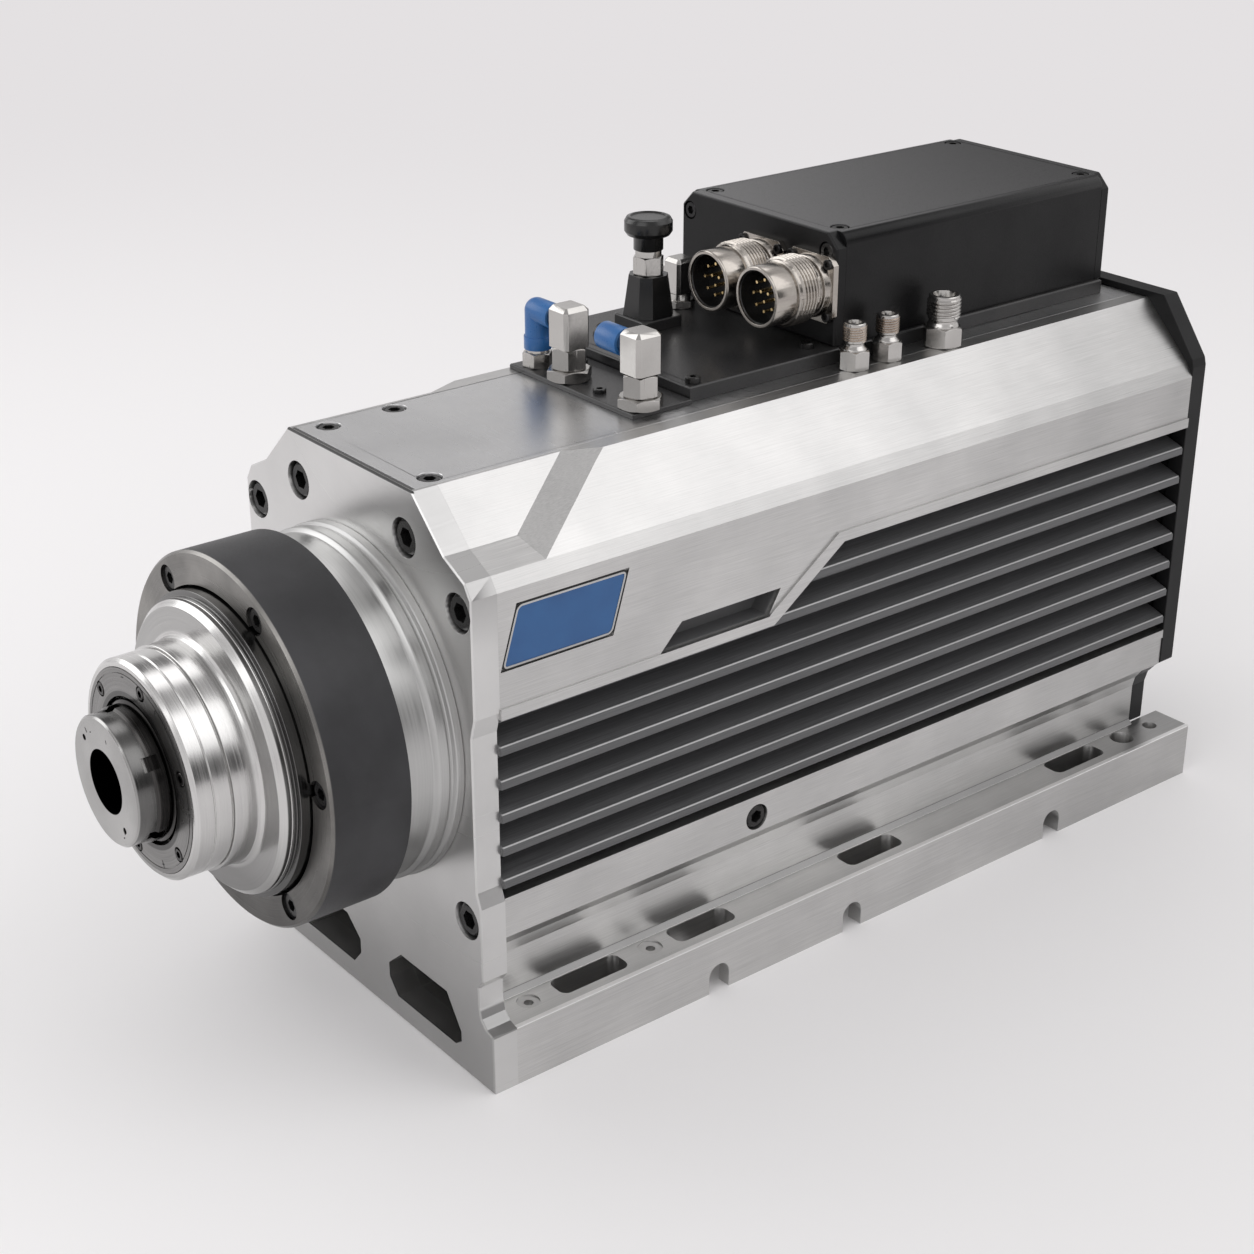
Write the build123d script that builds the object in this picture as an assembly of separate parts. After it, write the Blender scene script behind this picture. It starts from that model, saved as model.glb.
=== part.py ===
from build123d import *
import math
import os

# Air-cooled tool-change motor spindle.
# Millimetres. +Z is up, the spindle axis runs along Y and the nose points to -Y.
# Depths are measured back from the front face of the front plate.
# Every piece is moved by the same amount when it is saved, so that the
# origin ends up in the middle of the mounting face under the foot.

# Driving sizes of the body
BASE_LENGTH = 402.0
REAR_LUG = 20.0
FOOT_HALF = 81.0
FOOT_HEIGHT = 25.5
BODY_TOP = 230.0
BODY_HALF = 75.5
AXIS_Z = 134.5
PLATE_THICK = 11.0
BODY_END = BASE_LENGTH - REAR_LUG
COVER_THICK = 10.0

# Clearances and small edge breaks
FIT = 0.05
GAP = 0.3
EDGE = 0.6

# Upper outline shared by the front plate and the front of the housing
TOP_HALF = 41.5
BEVEL_CORNER = (BODY_HALF - 15.5, 212.0)
LEDGE_CORNER = (BODY_HALF - 3.5, 206.0)
SIDE_TOP = 200.5

# Upper outline of the bulkier rear part of the housing
SHOULDER_HALF = 47.5
SHOULDER_CHAMFER = 3.2

# The recess beside the front of the top plate ends at these depths
RECESS_TOP = 64.0
RECESS_LOW = 31.0
RECESS_END = 79.0

# Lower outline of the housing above the foot
BAND_TOP = 79.0
BAND_SCRIBE = 75.0
BAND_BOTTOM = 62.0
WAIST_HALF = FOOT_HALF - 19.5

# Top plate
TOP_PLATE_HALF = 40.0
TOP_PLATE_THICK = 8.0
TOP_STRIP_START = 1.2
TOP_STRIP_WIDTH = 1.5

# Fins
FIN_FLOOR_X = 62.0
FIN_WEB = 2.5
FIN_TIP_X = BODY_HALF - 0.3
FIN_COUNT = 7
FIN_PITCH = 13.65
FIN_FIRST_TOP = 168.3
FIN_TIP_THICK = 3.7
PANEL_LOW = 152.0
PANEL_HIGH = 177.5
STEP_START = 139.0
STEP_END = 174.5
RAIL_WIDTH = 4.3
RAIL_PROUD = 0.8

# Motor and bearing bores
STATOR_R = 58.0
STATOR_BORE_R = 36.0
STATOR_FRONT = 92.0
STATOR_REAR = BODY_END - 130.0
AIR_GAP = 0.6
ROTOR_SHAFT_R = 24.0

# Nose, stepping forward from the front plate
FLANGE_R = 68.0
FLANGE_BODY_R = 66.5
FLANGE_LIP = 4.0
FLANGE_STEP = 11.0
RING_REAR = 24.0
RING_FRONT = 56.0
RING_R = 71.0
RING_SEAT_R = 58.5
RING_SEAT_DEPTH = 6.0
CARTRIDGE_R = 50.0
CARTRIDGE_END = 40.0
STAGE_R = 57.5
STAGE_FRONT = 66.0
NOSE_R = 41.0
NOSE_FRONT = 91.0
NOSE_OPENING_R = 27.5
SHAFT_FACE = 104.0
SHAFT_DISC_R = 24.2
SHAFT_DISC_THICK = 7.0
LOCKNUT_R = 25.6
MOUTH_R = 12.0
TAPER_LENGTH = 22.0

# Front bearings, 40 x 68 x 15
BEARING_BORE_R = 20.0
BEARING_OUT_R = 34.0
BEARING_WIDTH = 15.0
BEARING_1 = -84.0
BEARING_2 = -66.0
BEARINGS_END = BEARING_2 + BEARING_WIDTH
NUT_THREAD_R = 18.0

# Rear bearing, 30 x 62 x 16
REAR_BORE_R = 15.0
REAR_OUT_R = 31.0
REAR_WIDTH = 16.0
REAR_BEARING = BODY_END - 92.0
REAR_SHOULDER_R = 19.0

# Tool release parts
DRAWBAR_R = 6.0
SPRING_OUT_R = 9.6
SHAFT_HOLE_R = 10.0
GUIDE_HOLE_R = 6.4
GRIPPER_REAR = -54.0
SPRING_START = 60.0
SPRING_COUNT = 8
SPRING_THICK = 2.4
SPRING_CONE = 1.5
SHAFT_END = BODY_END - 64.0
DRAWBAR_END = SHAFT_END + 6.0
RELEASE_GAP = 0.5
RELEASE_STROKE = 8.0
PISTON_R = 46.0
CYLINDER_FRONT = BODY_END - 52.0
SPRING_END = SPRING_START + SPRING_COUNT * (SPRING_THICK + SPRING_CONE)

# Equipment on top
THIN_PLATE = (-46.5, 32.0, 105.0, 134.0)
THIN_THICK = 2.0
DECK_LEFT = -68.5
DECK_RIGHT = 30.0
DECK_FRONT = 134.4
DECK_THICK = 6.0
BOX_LEFT = -67.0
BOX_RIGHT = 28.0
BOX_FRONT = 211.0
BOX_REAR = BODY_END - 9.0
BOX_HEIGHT = 46.0
BOX_END_THICK = 5.0
BOX_EDGE = 5.0

THIN_TOP = BODY_TOP + THIN_THICK
DECK_TOP = BODY_TOP + DECK_THICK
BOX_TOP = DECK_TOP + BOX_HEIGHT

ELBOW_1 = (-17.0, 112.5)
ELBOW_2 = (26.0, 113.5)
BLUE_LEG = (-37.5, 110.5)
REAR_ELBOW = (-55.0, 200.0)
KNOB = (-43.0, 173.0)
CONNECTOR_X = (-14.0, 15.5)
CONNECTOR_Z = 259.5
CONNECTOR_REACH = 31.0
CONNECTOR_R = 12.4
SMALL_NIPPLES = ((38.2, 212.5), (37.8, 231.0))
LARGE_NIPPLE = (38.8, 262.0)
SMALL_NIPPLE_RISE = 19.0
LARGE_NIPPLE_RISE = 21.5


# Helpers

def block(x0, x1, y0, y1, z0, z1):
    """Box between two corners."""
    size = Box(x1 - x0, y1 - y0, z1 - z0)
    return Pos((x0 + x1) / 2, (y0 + y1) / 2, (z0 + z1) / 2) * size


def along_y(points, depth_0, depth_1):
    """Extrude an outline given as (x, z) points between two depths."""
    face = make_face(Polyline(*[(x, z) for x, z in points], close=True))
    placed = Plane.XZ.offset(-depth_0) * face
    return extrude(placed, amount=depth_1 - depth_0, dir=(0, 1, 0))


def along_x(points, x0, x1):
    """Extrude an outline given as (depth, z) points between two x values."""
    face = make_face(Polyline(*[(y, z) for y, z in points], close=True))
    placed = Plane.YZ.offset(x0) * face
    return extrude(placed, amount=x1 - x0, dir=(1, 0, 0))


def along_z(points, z0, z1):
    """Extrude an outline given as (x, depth) points between two heights."""
    face = make_face(Polyline(*points, close=True))
    return extrude(Plane.XY.offset(z0) * face, amount=z1 - z0)


def rod(radius, depth_0, depth_1, x=0.0, z=AXIS_Z):
    """Round bar along the spindle axis."""
    bar = Cylinder(radius, depth_1 - depth_0)
    turned = Rot(90, 0, 0) * bar
    return Pos(x, (depth_0 + depth_1) / 2, z) * turned


def tube(outer, inner, depth_0, depth_1, x=0.0, z=AXIS_Z):
    """Ring along the spindle axis."""
    return rod(outer, depth_0, depth_1, x, z) - rod(inner, depth_0 - 1, depth_1 + 1, x, z)


def turned_part(points):
    """Revolve an outline given as (radius, depth) points about the axis."""
    face = make_face(Polyline(*points, close=True))
    return Pos(0, 0, AXIS_Z) * revolve(face, Axis.Y, 360)


def post(radius, z0, z1, x, y):
    """Upright round bar."""
    return Pos(x, y, (z0 + z1) / 2) * Cylinder(radius, z1 - z0)


def hex_post(across_flats, z0, z1, x, y, turn=0.0):
    """Upright hexagonal bar."""
    face = RegularPolygon(across_flats / 2, 6, major_radius=False)
    bar = extrude(Rot(0, 0, turn) * face, amount=z1 - z0)
    return Pos(x, y, z0) * bar


def hex_nut(across_flats, z0, z1, x, y, turn=0.0):
    """Hexagonal bar with its corners turned down at both ends."""
    corner = across_flats / math.sqrt(3)
    cone_low = across_flats / 2 * 0.97
    drop = (corner - cone_low) * 0.55
    outline = Polyline((0, z0), (cone_low, z0), (corner, z0 + drop),
                       (corner, z1 - drop), (cone_low, z1), (0, z1), close=True)
    blank = revolve(Plane.XZ * make_face(outline), Axis.Z, 360)
    return hex_post(across_flats, z0, z1, x, y, turn) & (Pos(x, y, 0) * blank)


def mirrored(points):
    """Close a right-hand outline, listed bottom to top, with its left-hand twin."""
    left = [(-x, z) for x, z in reversed(points) if x > 0]
    return list(points) + left


def both_sides(piece):
    """The piece and its mirror image on the other side of the axis plane."""
    return piece + mirror(piece, Plane.YZ)


def polar(radius, angle):
    """Point (x, z) on a circle round the axis."""
    rad = math.radians(angle)
    return (radius * math.cos(rad), AXIS_Z + radius * math.sin(rad))


def cap_screw(shank_r, length, head_r=None, head_h=None):
    """Socket cap screw with its head's top at the origin, pointing down."""
    head_r = head_r or shank_r * 1.62
    head_h = head_h or shank_r * 2
    head = Pos(0, 0, -head_h / 2) * Cylinder(head_r, head_h)
    head = chamfer(head.edges().group_by(Axis.Z)[-1], head_r * 0.12)
    shank = Pos(0, 0, -head_h - length / 2) * Cylinder(shank_r, length)
    socket = extrude(RegularPolygon(shank_r * 0.82, 6, major_radius=False), amount=-head_h * 0.55)
    return head + shank - socket


def facing_front(x, depth, z):
    """Place for a screw whose head looks forward."""
    return Pos(x, depth, z) * Rot(90, 0, 0)


def facing_up(x, y, z):
    """Place for a screw whose head looks up."""
    return Pos(x, y, z)


def facing_right(x, y, z):
    """Place for a screw whose head looks to +X."""
    return Pos(x, y, z) * Rot(0, 90, 0)


def save(name, *solids):
    """Write a sub-part, moved so that the origin is under the foot's middle."""
    shape = Compound(children=list(solids)) if len(solids) > 1 else solids[0]
    export_step(Pos(0, -BASE_LENGTH / 2, 0) * shape, f"parts/{name}.step")


# Screw places
PLATE_SCREWS = [(side * x, z) for side in (1, -1)
                for x, z in ((35.5, 211.0), (BODY_HALF - 8.0, 193.5), (BODY_HALF - 9.0, 69.5))]
PLATE_SCREW_R = 4.0
PLATE_BORE_R = 7.5
PLATE_BORE_DEPTH = 9.0
RING_SCREWS = [polar(63.2, 5 + 60 * k) for k in range(6)]
RING_SCREW_R = 2.5
RING_BORE_R = 5.2
NOSE_SCREWS = [polar(33.6, 60 * k - 42) for k in range(6)]
NOSE_SCREW_R = 1.5
TOP_SCREWS = [(-33.5, 13.0), (33.5, 13.0), (-35.0, 43.0),
              (-33.5, BODY_END - 16.0), (25.0, BODY_END - 16.0)]
TOP_SCREW_R = 2.5
TOP_SCREW_LENGTH = 8.0
SIDE_SCREW = (134.0, 69.0)
DECK_SCREWS = [(25.5, 139.5), (21.0, 203.0), (-63.5, 139.5)]
THIN_SCREWS = [(3.5, 111.5), (-29.0, 127.5)]


# Front plate

def upper_outline():
    """Right-hand outline above the fins, front plate and front of the housing."""
    return [(BODY_HALF, SIDE_TOP), LEDGE_CORNER, BEVEL_CORNER, (TOP_HALF, BODY_TOP)]


def front_plate():
    flare = [(FOOT_HALF - 8.5 * math.cos(a), FOOT_HEIGHT + 8.5 - 8.5 * math.sin(a))
             for a in (math.radians(k) for k in (85, 60, 30, 0))]
    right = [(FOOT_HALF, 0), (FOOT_HALF, FOOT_HEIGHT)] + flare + [
        (FOOT_HALF - 8.5, 43), (BODY_HALF, 47), (BODY_HALF, 78), (73.2, 84),
        (73.2, 147), (BODY_HALF, 155)] + upper_outline()
    plate = along_y(mirrored(right), 0, PLATE_THICK)
    front_edges = plate.edges().group_by(Axis.Y)[0]
    plate = chamfer(front_edges, EDGE)
    plate -= rod(STATOR_R - 0.5 + FIT, -1, PLATE_THICK + 1)
    plate -= block(-TOP_HALF - 20, TOP_HALF + 20, TOP_STRIP_START, PLATE_THICK + 1,
                   BODY_TOP - TOP_PLATE_THICK, BODY_TOP + 5) & top_channel(0, PLATE_THICK + 2)
    plate -= both_sides(air_window(-1, PLATE_THICK + 1))
    for x, z in PLATE_SCREWS:
        plate -= rod(PLATE_BORE_R, -1, PLATE_BORE_DEPTH, x, z)
        plate -= rod(PLATE_SCREW_R + FIT, -1, PLATE_THICK + 1, x, z)
    for x, y in TOP_SCREWS:
        plate -= post(TOP_SCREW_R + FIT, BODY_TOP - 14, BODY_TOP, x, y)
    return plate


def top_channel(depth_0, depth_1):
    """Space of the top plate and of the strip in front of it."""
    return block(-TOP_PLATE_HALF, TOP_PLATE_HALF, depth_0, depth_1,
                 BODY_TOP - TOP_PLATE_THICK, BODY_TOP + 5)


def air_window(depth_0, depth_1):
    """Many-sided cooling air window at the right foot of the front plate."""
    side = WAIST_HALF - 1.5
    outline = [(16, 9.5), (side - 4, 9.5), (side, 12.5), (side, 17), (side - 9, 30.5),
               (19.5, 30.5), (10.5, 22.5), (10.5, 16)]
    return along_y(outline, depth_0, depth_1)


# Motor housing

def housing_outline(upper):
    right = [(FOOT_HALF, 0), (FOOT_HALF, FOOT_HEIGHT), (WAIST_HALF + 2, FOOT_HEIGHT),
             (WAIST_HALF, FOOT_HEIGHT + 2), (WAIST_HALF, 45), (WAIST_HALF + 1.2, 50),
             (WAIST_HALF + 4.5, 54.5), (BODY_HALF - 2.5, 60), (BODY_HALF - 0.5, BAND_BOTTOM),
             (BODY_HALF - 0.5, BAND_SCRIBE), (BODY_HALF, BAND_SCRIBE)]
    return mirrored(right + upper)


def transition_plane():
    """Slanted face between the recessed front and the bulkier rear part."""
    a = Vector(TOP_HALF, RECESS_TOP, BODY_TOP)
    b = Vector(BEVEL_CORNER[0], RECESS_LOW, BEVEL_CORNER[1])
    c = Vector(SHOULDER_HALF, RECESS_END, BODY_TOP)
    normal = (b - a).cross(c - a).normalized()
    return Plane(origin=a, x_dir=(b - a).normalized(), z_dir=normal)


def shoulder_outline():
    return [(BODY_HALF, SIDE_TOP), LEDGE_CORNER,
            (SHOULDER_HALF + SHOULDER_CHAMFER, BODY_TOP - SHOULDER_CHAMFER),
            (SHOULDER_HALF, BODY_TOP)]


def front_recess():
    """Material missing at the front of the right shoulder."""
    outline = [LEDGE_CORNER, (SHOULDER_HALF + SHOULDER_CHAMFER + 8, BODY_TOP + 5),
               (TOP_HALF, BODY_TOP + 5), (TOP_HALF, BODY_TOP), BEVEL_CORNER]
    wedge = along_y(outline, PLATE_THICK - 1, 110)
    return split(wedge, bisect_by=transition_plane(), keep=front_side())


def front_side():
    """Side of the transition plane that is in front of the bulkier part."""
    plane = transition_plane()
    corner = Vector(SHOULDER_HALF, PLATE_THICK, BODY_TOP)
    return Keep.TOP if (corner - plane.origin).dot(plane.z_dir) > 0 else Keep.BOTTOM


def fin_zone(x0, x1, grow=0.0):
    """L-shaped side area that the fins fill, seen from the side."""
    outline = [(PLATE_THICK - 1, BAND_TOP - grow), (BODY_END + 1, BAND_TOP - grow),
               (BODY_END + 1, PANEL_HIGH + grow), (STEP_END - grow * 0.7, PANEL_HIGH + grow),
               (STEP_START - grow * 0.7, PANEL_LOW + grow), (PLATE_THICK - 1, PANEL_LOW + grow)]
    return along_x(outline, x0, x1)


def side_rail():
    """Raised band along the lower edge of the upper side panel."""
    band = fin_zone(BODY_HALF - 3, BODY_HALF + RAIL_PROUD, RAIL_WIDTH)
    band -= fin_zone(BODY_HALF - 4, BODY_HALF + 2)
    band &= block(0, 100, PLATE_THICK, BODY_END, PANEL_LOW - 1, SIDE_TOP)
    return band


def side_pocket():
    """Slanted pocket above the step of the rail."""
    outline = [(83.5, PANEL_LOW + RAIL_WIDTH), (93.5, 166.5), (142.5, 166.5),
               (136.5, PANEL_LOW + RAIL_WIDTH)]
    return along_x(outline, BODY_HALF - 10, BODY_HALF + 5)


def badge_outline(grow=0.0):
    return [(12.5 - grow, 171.0 - grow), (61.0 + grow * 0.5, 171.0 - grow),
            (68.0 + grow, 194.0 + grow), (19.5 - grow * 0.5, 194.0 + grow)]


FOOT_SLOTS = [(37.5, 70.0), (95.0, 125.5), (188.5, 220.0),
              (BODY_END - 64.0, BODY_END - 31.5)]
SLOT_X = (FOOT_HALF - 17.0, FOOT_HALF - 6.0)
NOTCHES = [110.5, 184.0, BODY_END - 74.0]
NOTCH_R = 5.2
NOTCH_HEIGHT = 12.5
NOTCH_INNER = FOOT_HALF - 19.0
PLUG_HOLES = [(24.5, 4.6), (84.0, 5.0)]
FOOT_HOLES = [(BODY_END - 14.5, 5.5), (BODY_END + 5.5, 3.4)]
HOLE_X = FOOT_HALF - 11.5


def foot_cuts():
    """Slots, holes and cross notches of the right-hand foot."""
    cuts = []
    for y0, y1 in FOOT_SLOTS:
        slot = block(SLOT_X[0], SLOT_X[1], y0, y1, -1, FOOT_HEIGHT + 1)
        cuts.append(fillet(slot.edges().filter_by(Axis.Z), 3.5))
    for y in NOTCHES:
        top = NOTCH_HEIGHT - NOTCH_R
        arch = round_x(NOTCH_R, NOTCH_INNER, FOOT_HALF + 1, y, top)
        cuts.append(arch)
        cuts.append(block(NOTCH_INNER, FOOT_HALF + 1, y - NOTCH_R, y + NOTCH_R, -1, top))
    for y, radius in FOOT_HOLES:
        cuts.append(post(radius, -1, FOOT_HEIGHT + 1, HOLE_X, y))
    for y, radius in PLUG_HOLES:
        cuts.append(post(radius, FOOT_HEIGHT - 9, FOOT_HEIGHT + 1, HOLE_X, y))
    return cuts


def motor_housing():
    body = along_y(housing_outline(shoulder_outline()), PLATE_THICK, BODY_END)
    lug = block(WAIST_HALF, FOOT_HALF, BODY_END - 1, BASE_LENGTH, 0, FOOT_HEIGHT)
    body += both_sides(lug)
    recess = front_recess()
    body -= both_sides(recess)
    body += both_sides(side_rail())
    body -= both_sides(fin_zone(FIN_FLOOR_X, BODY_HALF + 5))
    body -= side_pocket()
    body -= along_x(badge_outline(0.8), BODY_HALF - 1.4, BODY_HALF + 5)
    body -= top_channel(PLATE_THICK - 1, BODY_END + 1)
    body -= rod(STATOR_R + FIT, PLATE_THICK - 1, BODY_END + 1)
    body -= both_sides(air_window(PLATE_THICK - 1, BODY_END + 1))
    for cut in foot_cuts():
        body -= both_sides(cut)
    for x, z in PLATE_SCREWS:
        body -= rod(PLATE_SCREW_R + FIT, PLATE_THICK - 1, PLATE_THICK + 15, x, z)
    for x, y in TOP_SCREWS:
        body -= post(TOP_SCREW_R + FIT, BODY_TOP - 14, BODY_TOP, x, y)
    y, z = SIDE_SCREW
    screw_bore = round_x(5.6, BODY_HALF - 7, BODY_HALF + 2, y, z)
    screw_bore += round_x(3 + FIT, BODY_HALF - 18, BODY_HALF, y, z)
    body -= both_sides(screw_bore)
    for x, z in COVER_SCREWS:
        body -= rod(COVER_SCREW_R + FIT, BODY_END - 14, BODY_END + 1, x, z)
    return body


def fin_panel():
    """Dark cooling fins of the right-hand side, with their web."""
    web = block(FIN_FLOOR_X, FIN_FLOOR_X + FIN_WEB, PLATE_THICK, BODY_END - 9,
                BAND_TOP, PANEL_HIGH)
    panel = web
    root = FIN_FLOOR_X
    for k in range(FIN_COUNT):
        top = FIN_FIRST_TOP - k * FIN_PITCH
        low = top - FIN_TIP_THICK
        fin = along_y([(root, top + 4.0), (FIN_TIP_X - EDGE, top), (FIN_TIP_X, top - EDGE),
                       (FIN_TIP_X, low), (root, low - 1.5)], PLATE_THICK, BODY_END - 0.5)
        panel += fin
    panel &= fin_zone(FIN_FLOOR_X, FIN_TIP_X + 1, -0.1)
    panel &= block(0, 100, PLATE_THICK, BODY_END - 0.5, 0, 300)
    return panel


# Covers

def rear_cover_outline():
    right = [(WAIST_HALF, FOOT_HEIGHT + 0.5), (WAIST_HALF, 45), (WAIST_HALF + 1.5, 50.5),
             (WAIST_HALF + 6, 56), (BODY_HALF, 62.5), (BODY_HALF, 204.5),
             (BODY_HALF - 1.0, 208.0), (BODY_HALF - 19.5, 232.8)]
    return mirrored(right)


COVER_SCREWS = [(side * x, z) for side in (1, -1)
                for x, z in ((BODY_HALF - 9.5, 196.0), (BODY_HALF - 9.5, 70.0),
                             (33.0, 212.0), (40.0, 45.0))]
COVER_SCREW_R = 2.5


def rear_cover():
    cover = along_y(rear_cover_outline(), BODY_END, BODY_END + COVER_THICK)
    cover = chamfer(cover.edges().group_by(Axis.Y)[-1], 1.2)
    cover -= block(-46, 46, BODY_END - 1, BODY_END + 1.5, BODY_TOP - 3, BODY_TOP + 0.05)
    cover -= both_sides(air_window(BODY_END - 1, BODY_END + COVER_THICK + 1))
    for x, z in COVER_SCREWS:
        cover -= rod(COVER_SCREW_R + FIT, BODY_END - 1, BODY_END + COVER_THICK + 1, x, z)
        cover -= rod(4.6, BODY_END + COVER_THICK - 5.5, BODY_END + COVER_THICK + 1, x, z)
    for x, z in PORT_PLACES:
        cover -= rod(5.0 + FIT, BODY_END - 1, BODY_END + COVER_THICK + 1, x, z)
    return cover


PORT_PLACES = [(-20.0, AXIS_Z), (20.0, AXIS_Z)]


def top_plate():
    plate = block(-TOP_PLATE_HALF, TOP_PLATE_HALF, TOP_STRIP_START + TOP_STRIP_WIDTH, BODY_END,
                  BODY_TOP - TOP_PLATE_THICK, BODY_TOP)
    for x, y in TOP_SCREWS:
        plate -= post(TOP_SCREW_R + FIT, BODY_TOP - 12, BODY_TOP + 1, x, y)
        plate -= post(4.7, BODY_TOP - 5.5, BODY_TOP + 1, x, y)
    return plate


def top_strip():
    """Black packing strip between the front plate's lip and the top plate."""
    return block(-TOP_PLATE_HALF, TOP_PLATE_HALF, TOP_STRIP_START,
                 TOP_STRIP_START + TOP_STRIP_WIDTH, BODY_TOP - TOP_PLATE_THICK, BODY_TOP)


# Nose

def front_flange():
    spigot = STATOR_R - 0.5
    bore = CARTRIDGE_R + FIT
    points = [(bore, -RING_REAR), (FLANGE_BODY_R, -RING_REAR), (FLANGE_BODY_R, -FLANGE_STEP),
              (FLANGE_R - 0.5, -FLANGE_STEP + 0.2), (FLANGE_R, -FLANGE_STEP + 0.8),
              (FLANGE_R, -FLANGE_LIP - 2), (FLANGE_R - 1.0, -FLANGE_LIP - 1.2),
              (FLANGE_R - 1.0, -FLANGE_LIP), (FLANGE_R + 0.8, -FLANGE_LIP + 1.0),
              (FLANGE_R + 0.8, 0), (spigot, 0), (spigot, 30), (bore, 30)]
    flange = turned_part(points)
    for x, z in RING_SCREWS:
        flange -= rod(RING_SCREW_R + FIT, -RING_REAR - 1, -RING_REAR + 14, x, z)
    return flange


def front_ring():
    points = [(CARTRIDGE_R + FIT, -RING_REAR), (RING_R, -RING_REAR), (RING_R, -RING_FRONT + 1),
              (RING_R - 1, -RING_FRONT), (RING_SEAT_R, -RING_FRONT),
              (RING_SEAT_R, -RING_FRONT + RING_SEAT_DEPTH),
              (CARTRIDGE_R + FIT, -RING_FRONT + RING_SEAT_DEPTH)]
    ring = turned_part(points)
    for x, z in RING_SCREWS:
        ring -= rod(RING_BORE_R, -RING_FRONT - 1, -RING_FRONT + 7, x, z)
        ring -= rod(RING_SCREW_R + FIT, -RING_FRONT - 1, -RING_REAR + 1, x, z)
    return ring


def nose_housing():
    seat = -RING_FRONT + RING_SEAT_DEPTH
    sweep = [(44.8 + 5.2 * (1 - math.cos(a)), -STAGE_FRONT - 5.2 + 5.2 * math.sin(a))
             for a in (math.radians(k) for k in (15, 35, 60, 90))]
    points = [(NOSE_OPENING_R + 10.5, -NOSE_FRONT), (NOSE_R - 1.2, -NOSE_FRONT),
              (NOSE_R, -NOSE_FRONT + 1.2), (NOSE_R, -82.6), (NOSE_R - 0.4, -82.4),
              (NOSE_R - 0.4, -82.0), (NOSE_R + 0.3, -81.8), (NOSE_R + 0.3, -76.6),
              (NOSE_R - 0.3, -76.4), (NOSE_R - 0.3, -76.0), (NOSE_R + 2.2, -75.6),
              (NOSE_R + 2.2, -72.0)] + sweep + [
              (53.0, -STAGE_FRONT), (55.2, -STAGE_FRONT + 2.4), (55.2, -60.6), (STAGE_R, -60.0),
              (STAGE_R, seat), (CARTRIDGE_R, seat), (CARTRIDGE_R, CARTRIDGE_END),
              (BEARING_OUT_R - 3, CARTRIDGE_END), (BEARING_OUT_R - 3, BEARINGS_END),
              (BEARING_OUT_R + FIT, BEARINGS_END), (BEARING_OUT_R + FIT, -86.9),
              (NOSE_OPENING_R + 10.5, -86.9)]
    body = turned_part(points)
    for x, z in NOSE_SCREWS:
        body -= rod(NOSE_SCREW_R + FIT, -88, -80, x * 1.065, AXIS_Z + (z - AXIS_Z) * 1.065)
    return body


def nose_cover():
    """Screwed ring that closes the nose and holds the front bearings."""
    points = [(NOSE_OPENING_R, -NOSE_FRONT - 0.2), (NOSE_OPENING_R + 10.4, -NOSE_FRONT - 0.2),
              (NOSE_OPENING_R + 10.4, -86.9), (BEARING_OUT_R, -86.9), (BEARING_OUT_R, BEARING_1),
              (BEARING_OUT_R - 4, BEARING_1), (BEARING_OUT_R - 4, -86.9), (NOSE_OPENING_R, -86.9)]
    cover = turned_part(points)
    groove = tube(36.3, 35.9, -NOSE_FRONT - 1, -NOSE_FRONT + 0.1)
    cover -= groove
    for x, z in NOSE_SCREWS:
        cover -= rod(2.9, -NOSE_FRONT - 1, -NOSE_FRONT + 2.6, x, z)
        cover -= rod(NOSE_SCREW_R + FIT, -NOSE_FRONT - 1, -86, x, z)
    return cover


NOTCH_ANGLES = [33 + 72 * k for k in range(5)]


def around_axis(piece, angle):
    """Turn a piece round the spindle axis."""
    return Pos(0, 0, AXIS_Z) * Rot(0, -angle, 0) * Pos(0, 0, -AXIS_Z) * piece


def spindle_shaft():
    nose = -SHAFT_FACE
    disc_back = nose + SHAFT_DISC_THICK
    taper_end = nose + TAPER_LENGTH
    taper_r = MOUTH_R - TAPER_LENGTH / 20
    points = [(MOUTH_R, nose), (SHAFT_DISC_R - 0.8, nose), (SHAFT_DISC_R, nose + 0.8),
              (SHAFT_DISC_R, disc_back), (NUT_THREAD_R, disc_back), (NUT_THREAD_R, BEARING_1),
              (BEARING_BORE_R, BEARING_1), (BEARING_BORE_R, BEARINGS_END),
              (ROTOR_SHAFT_R, BEARINGS_END), (ROTOR_SHAFT_R, STATOR_REAR + 8),
              (REAR_SHOULDER_R, STATOR_REAR + 12), (REAR_SHOULDER_R, REAR_BEARING),
              (REAR_BORE_R, REAR_BEARING), (REAR_BORE_R, SHAFT_END), (SHAFT_HOLE_R, SHAFT_END),
              (SHAFT_HOLE_R, SPRING_START), (GUIDE_HOLE_R, SPRING_START),
              (GUIDE_HOLE_R, GRIPPER_REAR), (SHAFT_HOLE_R, GRIPPER_REAR),
              (SHAFT_HOLE_R, taper_end + 3), (taper_r, taper_end)]
    shaft = turned_part(points)
    for angle in (140, -52):
        x, z = polar(18.4, angle)
        shaft -= rod(1.2, nose - 1, nose + 3, x, z)
    for angle in NOTCH_ANGLES:
        cut = block(SHAFT_DISC_R - 2.4, SHAFT_DISC_R + 2, disc_back - 2.0, disc_back + 0.1,
                    AXIS_Z - 2.6, AXIS_Z + 2.6)
        shaft -= around_axis(cut, angle)
    return shaft


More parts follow.
